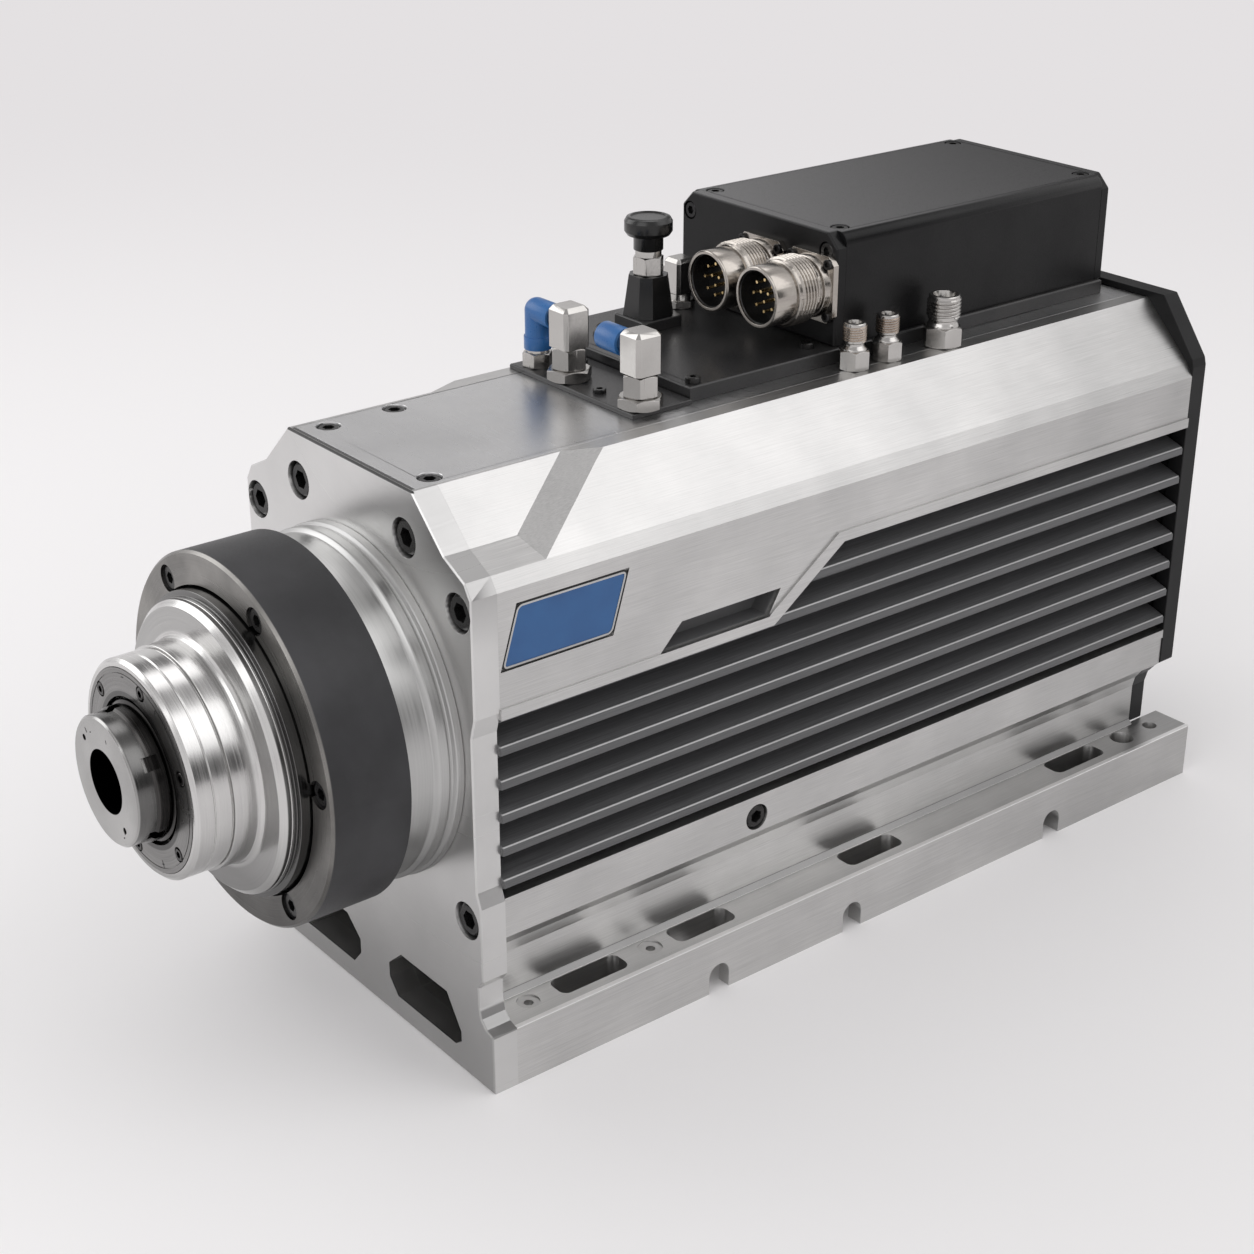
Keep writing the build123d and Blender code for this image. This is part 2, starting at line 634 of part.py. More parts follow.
def shaft_locknut():
    """Slotted ring nut behind the shaft's nose disc, with its seal land."""
    front = -SHAFT_FACE + SHAFT_DISC_THICK
    points = [(NUT_THREAD_R + FIT, front), (SHAFT_DISC_R, front), (LOCKNUT_R - 0.6, front + 1),
              (LOCKNUT_R - 0.6, front + 5), (LOCKNUT_R - 1.4, front + 5.4),
              (LOCKNUT_R + 0.4, front + 6.2), (LOCKNUT_R + 0.4, front + 9.8),
              (BEARING_BORE_R + 3.5, front + 9.8), (BEARING_BORE_R + 3.5, BEARING_1),
              (NUT_THREAD_R + FIT, BEARING_1)]
    nut = turned_part(points)
    for angle in NOTCH_ANGLES:
        cut = block(LOCKNUT_R - 3.6, LOCKNUT_R + 3, front - 0.1, front + 3.6,
                    AXIS_Z - 2.6, AXIS_Z + 2.6)
        nut -= around_axis(cut, angle)
    return nut


def ring_pair(inner_r, outer_r, start, width):
    """Inner and outer ring of a ball bearing, with a ball groove."""
    middle = (inner_r + outer_r) / 2
    ball = (outer_r - inner_r) * 0.29
    groove = Pos(0, start + width / 2, AXIS_Z) * Rot(90, 0, 0) * Torus(middle, ball + FIT)
    inner = tube(middle - ball * 0.55, inner_r + FIT, start, start + width) - groove
    outer = tube(outer_r, middle + ball * 0.55, start, start + width) - groove
    return inner, outer


def bearing_spacers():
    """Distance rings between the two front bearings."""
    start = BEARING_1 + BEARING_WIDTH
    inner = tube(BEARING_BORE_R + 4, BEARING_BORE_R + FIT, start, BEARING_2)
    outer = tube(BEARING_OUT_R, BEARING_OUT_R - 4, start, BEARING_2)
    return inner, outer


def ball_row(inner_r, outer_r, start, width, count):
    middle = (inner_r + outer_r) / 2
    ball = (outer_r - inner_r) * 0.29
    balls = []
    for k in range(count):
        x, z = polar(middle, 360 / count * k)
        balls.append(Pos(x, start + width / 2, z) * Sphere(ball))
    return balls


# Motor

def rotor_core():
    return tube(STATOR_BORE_R - AIR_GAP, ROTOR_SHAFT_R + FIT, STATOR_FRONT, STATOR_REAR)


def stator_core():
    core = tube(STATOR_R, STATOR_BORE_R, STATOR_FRONT, STATOR_REAR)
    return core


def windings():
    front = tube(STATOR_R - 5, STATOR_BORE_R + 3, STATOR_FRONT - 22, STATOR_FRONT)
    rear = tube(STATOR_R - 5, STATOR_BORE_R + 3, STATOR_REAR, STATOR_REAR + 22)
    return [front, rear]


def rear_bearing_plate():
    points = [(REAR_OUT_R + FIT, REAR_BEARING - 6), (STATOR_R, REAR_BEARING - 6),
              (STATOR_R, REAR_BEARING + REAR_WIDTH + 8), (20, REAR_BEARING + REAR_WIDTH + 8),
              (20, REAR_BEARING + REAR_WIDTH), (REAR_OUT_R + FIT, REAR_BEARING + REAR_WIDTH)]
    return turned_part(points)


# Tool clamping and release

def drawbar():
    head = turned_part([(0, -79), (4, -79), (4, -64), (DRAWBAR_R, -60),
                        (DRAWBAR_R, SPRING_END), (SPRING_OUT_R, SPRING_END),
                        (SPRING_OUT_R, SPRING_END + 6), (DRAWBAR_R, SPRING_END + 6),
                        (DRAWBAR_R, DRAWBAR_END - 8), (8.5, DRAWBAR_END - 8),
                        (8.5, DRAWBAR_END), (0, DRAWBAR_END)])
    return head


def gripper():
    """Segmented fingers that hold the tool's pull stud."""
    sleeve = turned_part([(4.3, -81), (8.2, -81), (9.0, -78), (9.0, -60), (DRAWBAR_R + 0.4, -58),
                          (DRAWBAR_R + 0.4, -60.4), (4.3, -64.4)])
    for k in range(3):
        slit = block(-12, 12, -82, -64, AXIS_Z - 0.5, AXIS_Z + 0.5)
        sleeve -= around_axis(slit, 60 * k)
    return sleeve.solids()


def disc_springs():
    """Stack of conical spring washers round the drawbar."""
    stack = []
    for k in range(SPRING_COUNT):
        y0 = SPRING_START + k * (SPRING_THICK + SPRING_CONE)
        rise = SPRING_CONE if k % 2 else 0.0
        fall = 0.0 if k % 2 else SPRING_CONE
        points = [(DRAWBAR_R + GAP, y0 + rise), (SPRING_OUT_R, y0 + fall),
                  (SPRING_OUT_R, y0 + fall + SPRING_THICK),
                  (DRAWBAR_R + GAP, y0 + rise + SPRING_THICK)]
        stack.append(turned_part(points))
    return stack


def release_cylinder():
    points = [(PISTON_R + GAP, CYLINDER_FRONT + 8), (PISTON_R + GAP, BODY_END),
              (STATOR_R, BODY_END), (STATOR_R, CYLINDER_FRONT), (14.4, CYLINDER_FRONT),
              (14.4, CYLINDER_FRONT + 8)]
    return turned_part(points)


def release_piston():
    tip = DRAWBAR_END + RELEASE_GAP
    face = BODY_END - 16
    return turned_part([(0, tip), (9, tip), (9, CYLINDER_FRONT - 1), (14, CYLINDER_FRONT),
                        (14, face), (PISTON_R, face), (PISTON_R, face + 4.0),
                        (PISTON_R - 2.5, face + 4.0), (PISTON_R - 2.5, face + 7.0),
                        (PISTON_R, face + 7.0), (PISTON_R, face + 12), (0, face + 12)])


def piston_seal():
    face = BODY_END - 16
    return turned_part([(PISTON_R - 2.4, face + 4.1), (PISTON_R + GAP - 0.02, face + 4.1),
                        (PISTON_R + GAP - 0.02, face + 6.9), (PISTON_R - 2.4, face + 6.9)])


# Fittings on the thin plate

def thin_plate():
    x0, x1, y0, y1 = THIN_PLATE
    plate = block(x0, x1, y0, y1, BODY_TOP, THIN_TOP)
    plate = chamfer(plate.edges().group_by(Axis.Z)[-1], 0.4)
    for x, y in THIN_SCREWS:
        plate -= post(1.5 + FIT, BODY_TOP - 1, THIN_TOP + 1, x, y)
    return plate


def elbow_block(x, y, z0, size, height):
    """Square elbow block with broken corners and a bore at the bottom."""
    half = size / 2
    cube = block(x - half, x + half, y - half, y + half, z0, z0 + height)
    cube = chamfer(cube.edges().filter_by(Axis.Z), size * 0.12)
    cube = chamfer(cube.edges().group_by(Axis.Z)[-1], size * 0.14)
    return cube


def elbow_foot(x, y, z0, nut_af, nut_h, collar_af, collar_h):
    """Screwed foot of an elbow: nut, hexagonal collar and a round neck."""
    nut = hex_nut(nut_af, z0, z0 + nut_h, x, y, 12)
    collar = hex_nut(collar_af, z0 + nut_h, z0 + nut_h + collar_h, x, y, 20)
    return nut + collar


ELBOW_SIZE = 12.2
ELBOW_HEIGHT = 16.5
FOOT_NUT_H = 4.6
FOOT_COLLAR_H = 8.6
ELBOW_LOW = THIN_TOP + FOOT_NUT_H + FOOT_COLLAR_H
PORT_Z = ELBOW_LOW + 9.6
STEM_R = 4.0
STEM_LOW = THIN_TOP + 4.0


def round_x(radius, x0, x1, y, z):
    """Round bar along X."""
    return Pos((x0 + x1) / 2, y, z) * (Rot(0, 90, 0) * Cylinder(radius, x1 - x0))


def elbow_one():
    x, y = ELBOW_1
    block_1 = elbow_block(x, y, ELBOW_LOW, ELBOW_SIZE, ELBOW_HEIGHT)
    neck = round_x(4.2, x - ELBOW_SIZE / 2 - 2.6, x, y, PORT_Z)
    return block_1 + neck


def blue_elbow():
    """Blue push-in elbow that bridges to the first metal elbow."""
    x, y = BLUE_LEG
    x1 = ELBOW_1[0] - ELBOW_SIZE / 2 - 2.6
    arm_y = ELBOW_1[1]
    leg = post(5.0, THIN_TOP + 7.4, PORT_Z, x, arm_y)
    ball = Pos(x, arm_y, PORT_Z) * Sphere(5.0)
    arm = round_x(5.0, x, x1, arm_y, PORT_Z)
    rib = post(5.5, THIN_TOP + 7.4, THIN_TOP + 12.5, x, arm_y)
    return leg + ball + arm + rib


def blue_elbow_base():
    x = BLUE_LEG[0]
    y = ELBOW_1[1]
    base = hex_nut(11.0, THIN_TOP, THIN_TOP + 6.2, x, y, 8)
    return base + post(4.4, THIN_TOP + 6.2, THIN_TOP + 7.4, x, y)


def elbow_two():
    """Elbow that turns on a round stem in its foot."""
    x, y = ELBOW_2
    body = elbow_block(x, y, ELBOW_LOW + GAP, ELBOW_SIZE, ELBOW_HEIGHT)
    neck = round_x(4.2, x - ELBOW_SIZE / 2 - 3.0, x, y, PORT_Z)
    return body + neck + post(STEM_R, STEM_LOW, ELBOW_LOW + GAP + 1, x, y)


def elbow_two_foot():
    x, y = ELBOW_2
    foot = elbow_foot(x, y, THIN_TOP, 16.0, FOOT_NUT_H, 12.8, FOOT_COLLAR_H)
    return foot - post(STEM_R + FIT, STEM_LOW - GAP, ELBOW_LOW + 1, x, y)


def push_in_sleeve():
    x, y = ELBOW_2
    x1 = x - ELBOW_SIZE / 2 - 3.0
    sleeve = round_x(5.4, x1 - 13.0, x1, y, PORT_Z)
    sleeve = chamfer(sleeve.edges().group_by(Axis.X)[0], 0.7)
    return sleeve - round_x(3.05, x1 - 14, x1 - 5, y, PORT_Z)


def release_ring():
    """Release collet at the mouth of the blue push-in fitting."""
    x, y = ELBOW_2
    x1 = x - ELBOW_SIZE / 2 - 16.0
    ring = round_x(4.3, x1 - 1.6, x1, y, PORT_Z)
    return ring - round_x(3.05, x1 - 2, x1 + 1, y, PORT_Z)


# Deck plate and the pull knob

def deck_plate():
    plate = block(DECK_LEFT, DECK_RIGHT, DECK_FRONT, BOX_REAR - 2, BODY_TOP, DECK_TOP)
    plate = chamfer(plate.edges().group_by(Axis.Z)[-1], 0.6)
    for x, y in DECK_SCREWS:
        plate -= post(1.5 + FIT, BODY_TOP - 1, DECK_TOP + 1, x, y)
    return plate


def octagon(width, cut, x, y):
    h = width / 2
    return [(x - h + cut, y - h), (x + h - cut, y - h), (x + h, y - h + cut), (x + h, y + h - cut),
            (x + h - cut, y + h), (x - h + cut, y + h), (x - h, y + h - cut), (x - h, y - h + cut)]


KNOB_BASE_H = 4.6
KNOB_BODY_H = 17.0
KNOB_HEX_H = 10.0
KNOB_PIN_R = 3.0
BODY_LOW = DECK_TOP + KNOB_BASE_H
HEX_LOW = BODY_LOW + KNOB_BODY_H
NECK_LOW = HEX_LOW + KNOB_HEX_H


def knob_base():
    x, y = KNOB
    base = block(x - 10.5, x + 10.5, y - 10.5, y + 10.5, DECK_TOP, BODY_LOW)
    base = chamfer(base.edges().filter_by(Axis.Z), 1.5)
    base = chamfer(base.edges().group_by(Axis.Z)[-1], 0.5)
    return base - post(KNOB_PIN_R + GAP, DECK_TOP - 1, BODY_LOW + 1, x, y)


def knob_body():
    """Black eight-sided body that narrows towards the top."""
    x, y = KNOB
    low = make_face(Polyline(*octagon(18.5, 4.2, x, y), close=True))
    high = make_face(Polyline(*octagon(14.6, 3.6, x, y), close=True))
    body = loft([Plane.XY.offset(BODY_LOW) * low, Plane.XY.offset(HEX_LOW) * high])
    body -= post(KNOB_PIN_R + GAP, BODY_LOW - 1, HEX_LOW + 1, x, y)
    body -= post(5.2, BODY_LOW + 3, HEX_LOW - 2.5, x, y)
    return body


def knob_sleeve():
    x, y = KNOB
    sleeve = hex_nut(11.4, HEX_LOW, NECK_LOW - 2.4, x, y, 10)
    sleeve += post(5.4, NECK_LOW - 2.4, NECK_LOW, x, y)
    return sleeve - post(KNOB_PIN_R + GAP, HEX_LOW - 1, NECK_LOW + 1, x, y)


def knob_cap():
    """Mushroom cap with its neck and the pin that it lifts."""
    x, y = KNOB
    outline = Polyline((0, BODY_LOW - 3.0), (KNOB_PIN_R, BODY_LOW - 3.0),
                       (KNOB_PIN_R, BODY_LOW + 4.0), (4.6, BODY_LOW + 4.0),
                       (4.6, BODY_LOW + 6.0), (KNOB_PIN_R, BODY_LOW + 6.0),
                       (KNOB_PIN_R, NECK_LOW + GAP), (6.1, NECK_LOW + GAP), (6.1, NECK_LOW + 6.0),
                       (8.8, NECK_LOW + 6.4), (9.9, NECK_LOW + 8.0), (9.9, NECK_LOW + 12.0),
                       (9.0, NECK_LOW + 13.6), (7.4, NECK_LOW + 14.0), (7.0, NECK_LOW + 13.5),
                       (0, NECK_LOW + 13.5), close=True)
    return Pos(x, y, 0) * revolve(Plane.XZ * make_face(outline), Axis.Z, 360)


def knob_spring():
    """Return spring between the pin's collar and the top of the body."""
    x, y = KNOB
    z0 = BODY_LOW + 6.2
    z1 = HEX_LOW - 2.7
    path = Pos(x, y, z0 + 0.45) * Helix(pitch=(z1 - z0 - 0.9) / 3, height=z1 - z0 - 0.9, radius=4.2)
    start = path @ 0
    ring = Plane(origin=start, z_dir=path % 0) * RegularPolygon(0.42, 6)
    return sweep(ring, path=path)


# Third elbow, box and connectors

def rear_elbow():
    x, y = REAR_ELBOW
    return elbow_block(x, y, DECK_TOP + 6.0 + GAP, 10.6, 15.0)


def rear_elbow_foot():
    x, y = REAR_ELBOW
    return hex_nut(11.5, DECK_TOP, DECK_TOP + 3.4, x, y, 5) + post(4.6, DECK_TOP + 3.4, DECK_TOP + 6, x, y)


def box_body():
    middle = (BOX_LEFT + BOX_RIGHT) / 2
    y0 = BOX_FRONT + BOX_END_THICK
    y1 = BOX_REAR - BOX_END_THICK
    body = block(BOX_LEFT, BOX_RIGHT, y0, y1, DECK_TOP, BOX_TOP)
    long_edges = body.edges().filter_by(Axis.Y).group_by(Axis.Z)[-1]
    body = fillet(long_edges, BOX_EDGE)
    wall = 3.0
    body -= block(BOX_LEFT + wall, BOX_RIGHT - wall, y0 - 1, y1 + 1, DECK_TOP + wall, BOX_TOP - 6)
    for x, y in BOX_TOP_SCREWS:
        body -= post(2.0 + FIT, BOX_TOP - 8, BOX_TOP + 1, x, y)
        body -= post(3.9, BOX_TOP - 2.6, BOX_TOP + 1, x, y)
    return body


BOX_TOP_SCREWS = [(BOX_LEFT + 10.0, BOX_FRONT + 9.5), (BOX_RIGHT - 9.0, BOX_FRONT + 9.5),
                  (BOX_LEFT + 10.0, BOX_REAR - 9.5), (BOX_RIGHT - 9.0, BOX_REAR - 9.5)]
BOX_FACE_SCREWS = [(BOX_LEFT + 5.0, BOX_TOP - 8.0), (BOX_RIGHT - 6.5, BOX_TOP - 8.0)]


def box_end(depth_0, depth_1):
    """End plate of the box with its upper corners cut off."""
    cut = 6.0
    low = DECK_TOP
    outline = [(BOX_LEFT, low), (BOX_RIGHT, low), (BOX_RIGHT, BOX_TOP - cut),
               (BOX_RIGHT - cut, BOX_TOP), (BOX_LEFT + cut, BOX_TOP), (BOX_LEFT, BOX_TOP - cut)]
    return along_y(outline, depth_0, depth_1)


def box_front_plate():
    plate = box_end(BOX_FRONT, BOX_FRONT + BOX_END_THICK)
    plate = chamfer(plate.edges().group_by(Axis.Y)[0], 0.7)
    for x, z in BOX_FACE_SCREWS:
        plate -= rod(3.9, BOX_FRONT - 1, BOX_FRONT + 2.6, x, z)
        plate -= rod(2.0 + FIT, BOX_FRONT - 1, BOX_FRONT + BOX_END_THICK + 1, x, z)
    for x in CONNECTOR_X:
        plate -= rod(CONNECTOR_R - CONNECTOR_WALL + GAP, BOX_FRONT - 1,
                     BOX_FRONT + BOX_END_THICK + 1, x, CONNECTOR_Z)
    return plate


def box_rear_plate():
    plate = box_end(BOX_REAR - BOX_END_THICK, BOX_REAR)
    return chamfer(plate.edges().group_by(Axis.Y)[-1], 0.7)


FLANGE_HALF = 13.6
CONNECTOR_FLANGE = 2.6
CONNECTOR_WALL = 1.6
CONNECTOR_FACE = BOX_FRONT - CONNECTOR_REACH


def connector_shell(x):
    """Nickel receptacle: square flange, threaded barrel and open mouth."""
    flange = block(x - FLANGE_HALF, x + FLANGE_HALF, BOX_FRONT - CONNECTOR_FLANGE, BOX_FRONT,
                   CONNECTOR_Z - FLANGE_HALF, CONNECTOR_Z + FLANGE_HALF)
    flange = chamfer(flange.edges().filter_by(Axis.Y), 3.2)
    y0 = CONNECTOR_FACE
    r = CONNECTOR_R
    back = BOX_FRONT - CONNECTOR_FLANGE
    inner = r - CONNECTOR_WALL
    points = [(inner, y0), (r - 0.5, y0), (r, y0 + 0.5), (r, y0 + 10.5), (r - 0.9, y0 + 11),
              (r + 0.7, y0 + 11.5), (r + 0.7, y0 + 22.2), (r - 0.9, y0 + 22.6),
              (r - 0.9, y0 + 24.6), (r + 0.4, y0 + 25.0), (r + 0.4, back), (inner, back)]
    face = make_face(Polyline(*points, close=True))
    barrel = Pos(x, 0, CONNECTOR_Z) * revolve(face, Axis.Y, 360)
    shell = flange - rod(inner, back - 1, BOX_FRONT + 1, x, CONNECTOR_Z) + barrel
    for dx, dz in connector_corners():
        shell -= rod(1.35, BOX_FRONT - 3, BOX_FRONT + 1, x + dx, CONNECTOR_Z + dz)
    return shell


def connector_corners():
    reach = FLANGE_HALF - 2.9
    return [(sx * reach, sz * reach) for sx in (1, -1) for sz in (1, -1)]


def connector_insert(x):
    y0 = CONNECTOR_FACE
    body = rod(CONNECTOR_R - CONNECTOR_WALL - FIT, y0 + 9, BOX_FRONT + 3, x, CONNECTOR_Z)
    for dx, dz in pin_places():
        body -= rod(0.65, y0 + 8, y0 + 12, x + dx, CONNECTOR_Z + dz)
    return body


def pin_places():
    places = [(6.4 * math.cos(math.radians(45 * k)), 6.4 * math.sin(math.radians(45 * k)))
              for k in range(8)]
    places += [(2.4 * math.cos(math.radians(30 + 120 * k)), 2.4 * math.sin(math.radians(30 + 120 * k)))
               for k in range(3)]
    return places


def connector_pins():
    pins = []
    for x in CONNECTOR_X:
        for dx, dz in pin_places():
            pins.append(rod(0.6, CONNECTOR_FACE + 4.2, CONNECTOR_FACE + 12, x + dx, CONNECTOR_Z + dz))
    return pins


def nipple(x, y, across_flats, hex_h, barrel_r, rise):
    """Hose nipple: hexagon, cone, undercut and threaded barrel with a bore."""
    z0 = BODY_TOP
    top = z0 + rise
    body = hex_nut(across_flats, z0, z0 + hex_h, x, y, 22)
    neck = z0 + hex_h + 2.6
    points = [(0, z0 + hex_h - 1), (across_flats / 2 - 0.7, z0 + hex_h - 1),
              (across_flats / 2 - 0.7, z0 + hex_h + 0.4), (barrel_r - 0.6, neck - 0.8),
              (barrel_r - 0.6, neck), (barrel_r, neck + 0.5), (barrel_r, top - 0.4),
              (barrel_r - 0.4, top), (0, top)]
    barrel = Pos(x, y, 0) * revolve(Plane.XZ * make_face(Polyline(*points, close=True)), Axis.Z, 360)
    return body + barrel - post(barrel_r - 1.6, z0 + 4, top + 1, x, y)


# Screws, grouped by place

def plate_screws():
    return [facing_front(x, PLATE_BORE_DEPTH - 8, z) * cap_screw(PLATE_SCREW_R, 16)
            for x, z in PLATE_SCREWS]


def ring_screws():
    return [facing_front(x, -RING_FRONT + 1, z) * cap_screw(RING_SCREW_R, 36, 4.7, 5.0)
            for x, z in RING_SCREWS]


def nose_screws():
    return [facing_front(x, -NOSE_FRONT - 0.4, z) * cap_screw(NOSE_SCREW_R, 1.2)
            for x, z in NOSE_SCREWS]


def top_screws():
    return [facing_up(x, y, BODY_TOP - 0.5) * cap_screw(TOP_SCREW_R, TOP_SCREW_LENGTH)
            for x, y in TOP_SCREWS]


def deck_screws():
    group = [facing_up(x, y, DECK_TOP + 2.4) * cap_screw(1.5, 5.8, 3.0, 2.4) for x, y in DECK_SCREWS]
    return group + [facing_up(x, y, THIN_TOP + 1.6) * cap_screw(1.5, 1.9, 2.6, 1.6)
                    for x, y in THIN_SCREWS]


def box_screws():
    group = [facing_up(x, y, BOX_TOP - 0.3) * cap_screw(2.0, 5.0, 3.5, 2.3) for x, y in BOX_TOP_SCREWS]
    return group + [facing_front(x, BOX_FRONT + 0.3, z) * cap_screw(2.0, 2.6, 3.5, 2.3)
                    for x, z in BOX_FACE_SCREWS]


def connector_screws():
    return [facing_front(x + dx, BOX_FRONT - 4.0, CONNECTOR_Z + dz) * cap_screw(1.25, 2.4, 2.1, 1.4)
            for x in CONNECTOR_X for dx, dz in connector_corners()]


def cover_screws():
    return [Pos(x, BODY_END + COVER_THICK - 0.5, z) * Rot(-90, 0, 0) * cap_screw(COVER_SCREW_R, 16)
            for x, z in COVER_SCREWS]


def side_screws():
    y, z = SIDE_SCREW
    right = facing_right(BODY_HALF - 1.0, y, z) * cap_screw(3.0, 10)
    return [right, mirror(right, Plane.YZ)]


def foot_plugs():
    plugs = []
    for side in (1, -1):
        for y, radius in PLUG_HOLES:
            plug = post(radius - FIT, FOOT_HEIGHT - 9, FOOT_HEIGHT - 0.6, side * HOLE_X, y)
            plugs.append(plug - post(1.9, FOOT_HEIGHT - 3, FOOT_HEIGHT, side * HOLE_X + 0.3, y))
    return plugs


def rear_ports():
    """Threaded inserts of the release cylinder in the rear cover."""
    return [tube(5.0, 3.4, BODY_END + 0.5, BODY_END + COVER_THICK + 1.5, x, z) for x, z in PORT_PLACES]


def main():
    os.makedirs("parts", exist_ok=True)
    save("front_plate", front_plate())
    save("motor_housing", motor_housing())
    panel = fin_panel()
    save("fin_panel_right", panel)
    save("fin_panel_left", mirror(panel, Plane.YZ))
    save("badge_plate", along_x(badge_outline(), BODY_HALF - 1.4, BODY_HALF - 0.2))
    save("rear_cover", rear_cover())
    save("top_plate", top_plate())
    save("top_strip", top_strip())
    save("front_flange", front_flange())
    save("front_ring", front_ring())
    save("nose_housing", nose_housing())
    save("nose_cover", nose_cover())
    save("spindle_shaft", spindle_shaft())
    save("shaft_locknut", shaft_locknut())
    inner_1, outer_1 = ring_pair(BEARING_BORE_R, BEARING_OUT_R, BEARING_1, BEARING_WIDTH)
    inner_2, outer_2 = ring_pair(BEARING_BORE_R, BEARING_OUT_R, BEARING_2, BEARING_WIDTH)
    inner_3, outer_3 = ring_pair(REAR_BORE_R, REAR_OUT_R, REAR_BEARING, REAR_WIDTH)
    inner_spacer, outer_spacer = bearing_spacers()
    save("bearing_outer_rings", outer_1, outer_2, outer_3, outer_spacer)
    save("bearing_inner_rings", inner_1, inner_2, inner_3, inner_spacer)
    save("bearing_balls",
         *ball_row(BEARING_BORE_R, BEARING_OUT_R, BEARING_1, BEARING_WIDTH, 12),
         *ball_row(BEARING_BORE_R, BEARING_OUT_R, BEARING_2, BEARING_WIDTH, 12),
         *ball_row(REAR_BORE_R, REAR_OUT_R, REAR_BEARING, REAR_WIDTH, 9))
    save("rear_bearing_plate", rear_bearing_plate())
    save("rotor_core", rotor_core())
    save("stator_core", stator_core())
    save("stator_windings", *windings())
    save("drawbar", drawbar())
    save("tool_gripper", *gripper())
    save("disc_springs", *disc_springs())
    save("release_cylinder", release_cylinder())
    save("release_piston", release_piston())
    save("piston_seal", piston_seal())
    save("fitting_plate", thin_plate())
    save("elbow_one", elbow_one())
    save("elbow_one_foot", elbow_foot(*ELBOW_1, THIN_TOP, 16.0, FOOT_NUT_H, 12.8, FOOT_COLLAR_H))
    save("blue_elbow", blue_elbow())
    save("blue_elbow_base", blue_elbow_base())
    save("elbow_two", elbow_two())
    save("elbow_two_foot", elbow_two_foot())
    save("push_in_sleeve", push_in_sleeve())
    save("release_ring", release_ring())
    save("deck_plate", deck_plate())
    save("knob_base", knob_base())
    save("knob_body", knob_body())
    save("knob_sleeve", knob_sleeve())
    save("knob_cap", knob_cap())
    save("knob_spring", knob_spring())
    save("rear_elbow", rear_elbow())
    save("rear_elbow_foot", rear_elbow_foot())
    save("box_body", box_body())
    save("box_front_plate", box_front_plate())
    save("box_rear_plate", box_rear_plate())
    save("connector_shells", *[connector_shell(x) for x in CONNECTOR_X])
    save("connector_inserts", *[connector_insert(x) for x in CONNECTOR_X])
    save("connector_pins", *connector_pins())
    save("hose_nipples", *[nipple(x, y, 11.5, 8.0, 4.4, SMALL_NIPPLE_RISE) for x, y in SMALL_NIPPLES],
         nipple(*LARGE_NIPPLE, 14.5, 8.4, 6.4, LARGE_NIPPLE_RISE))
    save("plate_screws", *plate_screws())
    save("ring_screws", *ring_screws())
    save("nose_screws", *nose_screws())
    save("rear_cover_screws", *cover_screws())
    save("side_screws", *side_screws())
    save("top_screws", *top_screws(), *deck_screws())
    save("box_screws", *box_screws(), *connector_screws())
    save("foot_plugs", *foot_plugs())
    save("rear_ports", *rear_ports())


main()
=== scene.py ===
import math

import bmesh
import bpy
from mathutils import Matrix, Vector


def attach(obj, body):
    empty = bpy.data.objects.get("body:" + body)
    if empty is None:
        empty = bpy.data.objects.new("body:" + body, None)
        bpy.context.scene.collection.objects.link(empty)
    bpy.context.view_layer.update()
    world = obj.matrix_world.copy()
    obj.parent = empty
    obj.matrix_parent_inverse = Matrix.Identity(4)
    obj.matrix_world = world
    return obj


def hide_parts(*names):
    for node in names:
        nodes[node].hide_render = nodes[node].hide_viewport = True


# Air-cooled tool-change motor spindle. Metres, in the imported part's own frame:
# +Z up, the spindle axis along Y with the nose to -Y, +X towards the badge side.

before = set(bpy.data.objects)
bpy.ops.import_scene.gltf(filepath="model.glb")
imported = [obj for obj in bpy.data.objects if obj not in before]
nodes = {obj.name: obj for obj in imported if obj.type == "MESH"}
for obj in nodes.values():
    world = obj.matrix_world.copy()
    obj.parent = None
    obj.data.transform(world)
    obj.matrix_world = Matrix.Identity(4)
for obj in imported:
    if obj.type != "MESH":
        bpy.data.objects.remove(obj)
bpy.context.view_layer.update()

MM = 0.001
AXIS_HEIGHT = 134.5 * MM
FIN_FIRST_TOP = 168.3 * MM
FIN_PITCH = 13.65 * MM
HALF_LENGTH = 201.0 * MM
FOOT_EDGE = 81.0 * MM
FOOT_TOP = 25.5 * MM
PLATE_TOP = 230.0 * MM
CORNER_RISE = 2.0 * MM
BOX_TOP = 282.0 * MM


def depth(millimetres):
    """Place along Y from a depth behind the front plate's front face."""
    return millimetres * MM - HALF_LENGTH


# Camera at the photograph's angle

CAMERA_PLACE = Vector((0.639235, -0.581793, 0.507606))
CAMERA_BACK = Vector((0.70928, -0.56419, 0.42262))
CAMERA_LENS = 63.30


def add_camera():
    """Camera that the picture is taken with."""
    data = bpy.data.cameras.new("camera")
    data.lens = CAMERA_LENS
    data.sensor_width = 36.0
    data.clip_end = 50.0
    camera = bpy.data.objects.new("camera", data)
    camera.location = CAMERA_PLACE
    camera.rotation_euler = (-CAMERA_BACK).to_track_quat("-Z", "Y").to_euler()
    bpy.context.scene.collection.objects.link(camera)
    bpy.context.scene.camera = camera


# Shared shader effects

def new_group(name, inputs, outputs):
    """Empty shader node group with named sockets."""
    group = bpy.data.node_groups.new(name, "ShaderNodeTree")
    for label, kind, default in inputs:
        socket = group.interface.new_socket(label, in_out="INPUT", socket_type=kind)
        if default is not None:
            socket.default_value = default
    for label, kind in outputs:
        group.interface.new_socket(label, in_out="OUTPUT", socket_type=kind)
    start = group.nodes.new("NodeGroupInput")
    end = group.nodes.new("NodeGroupOutput")
    return group, start, end


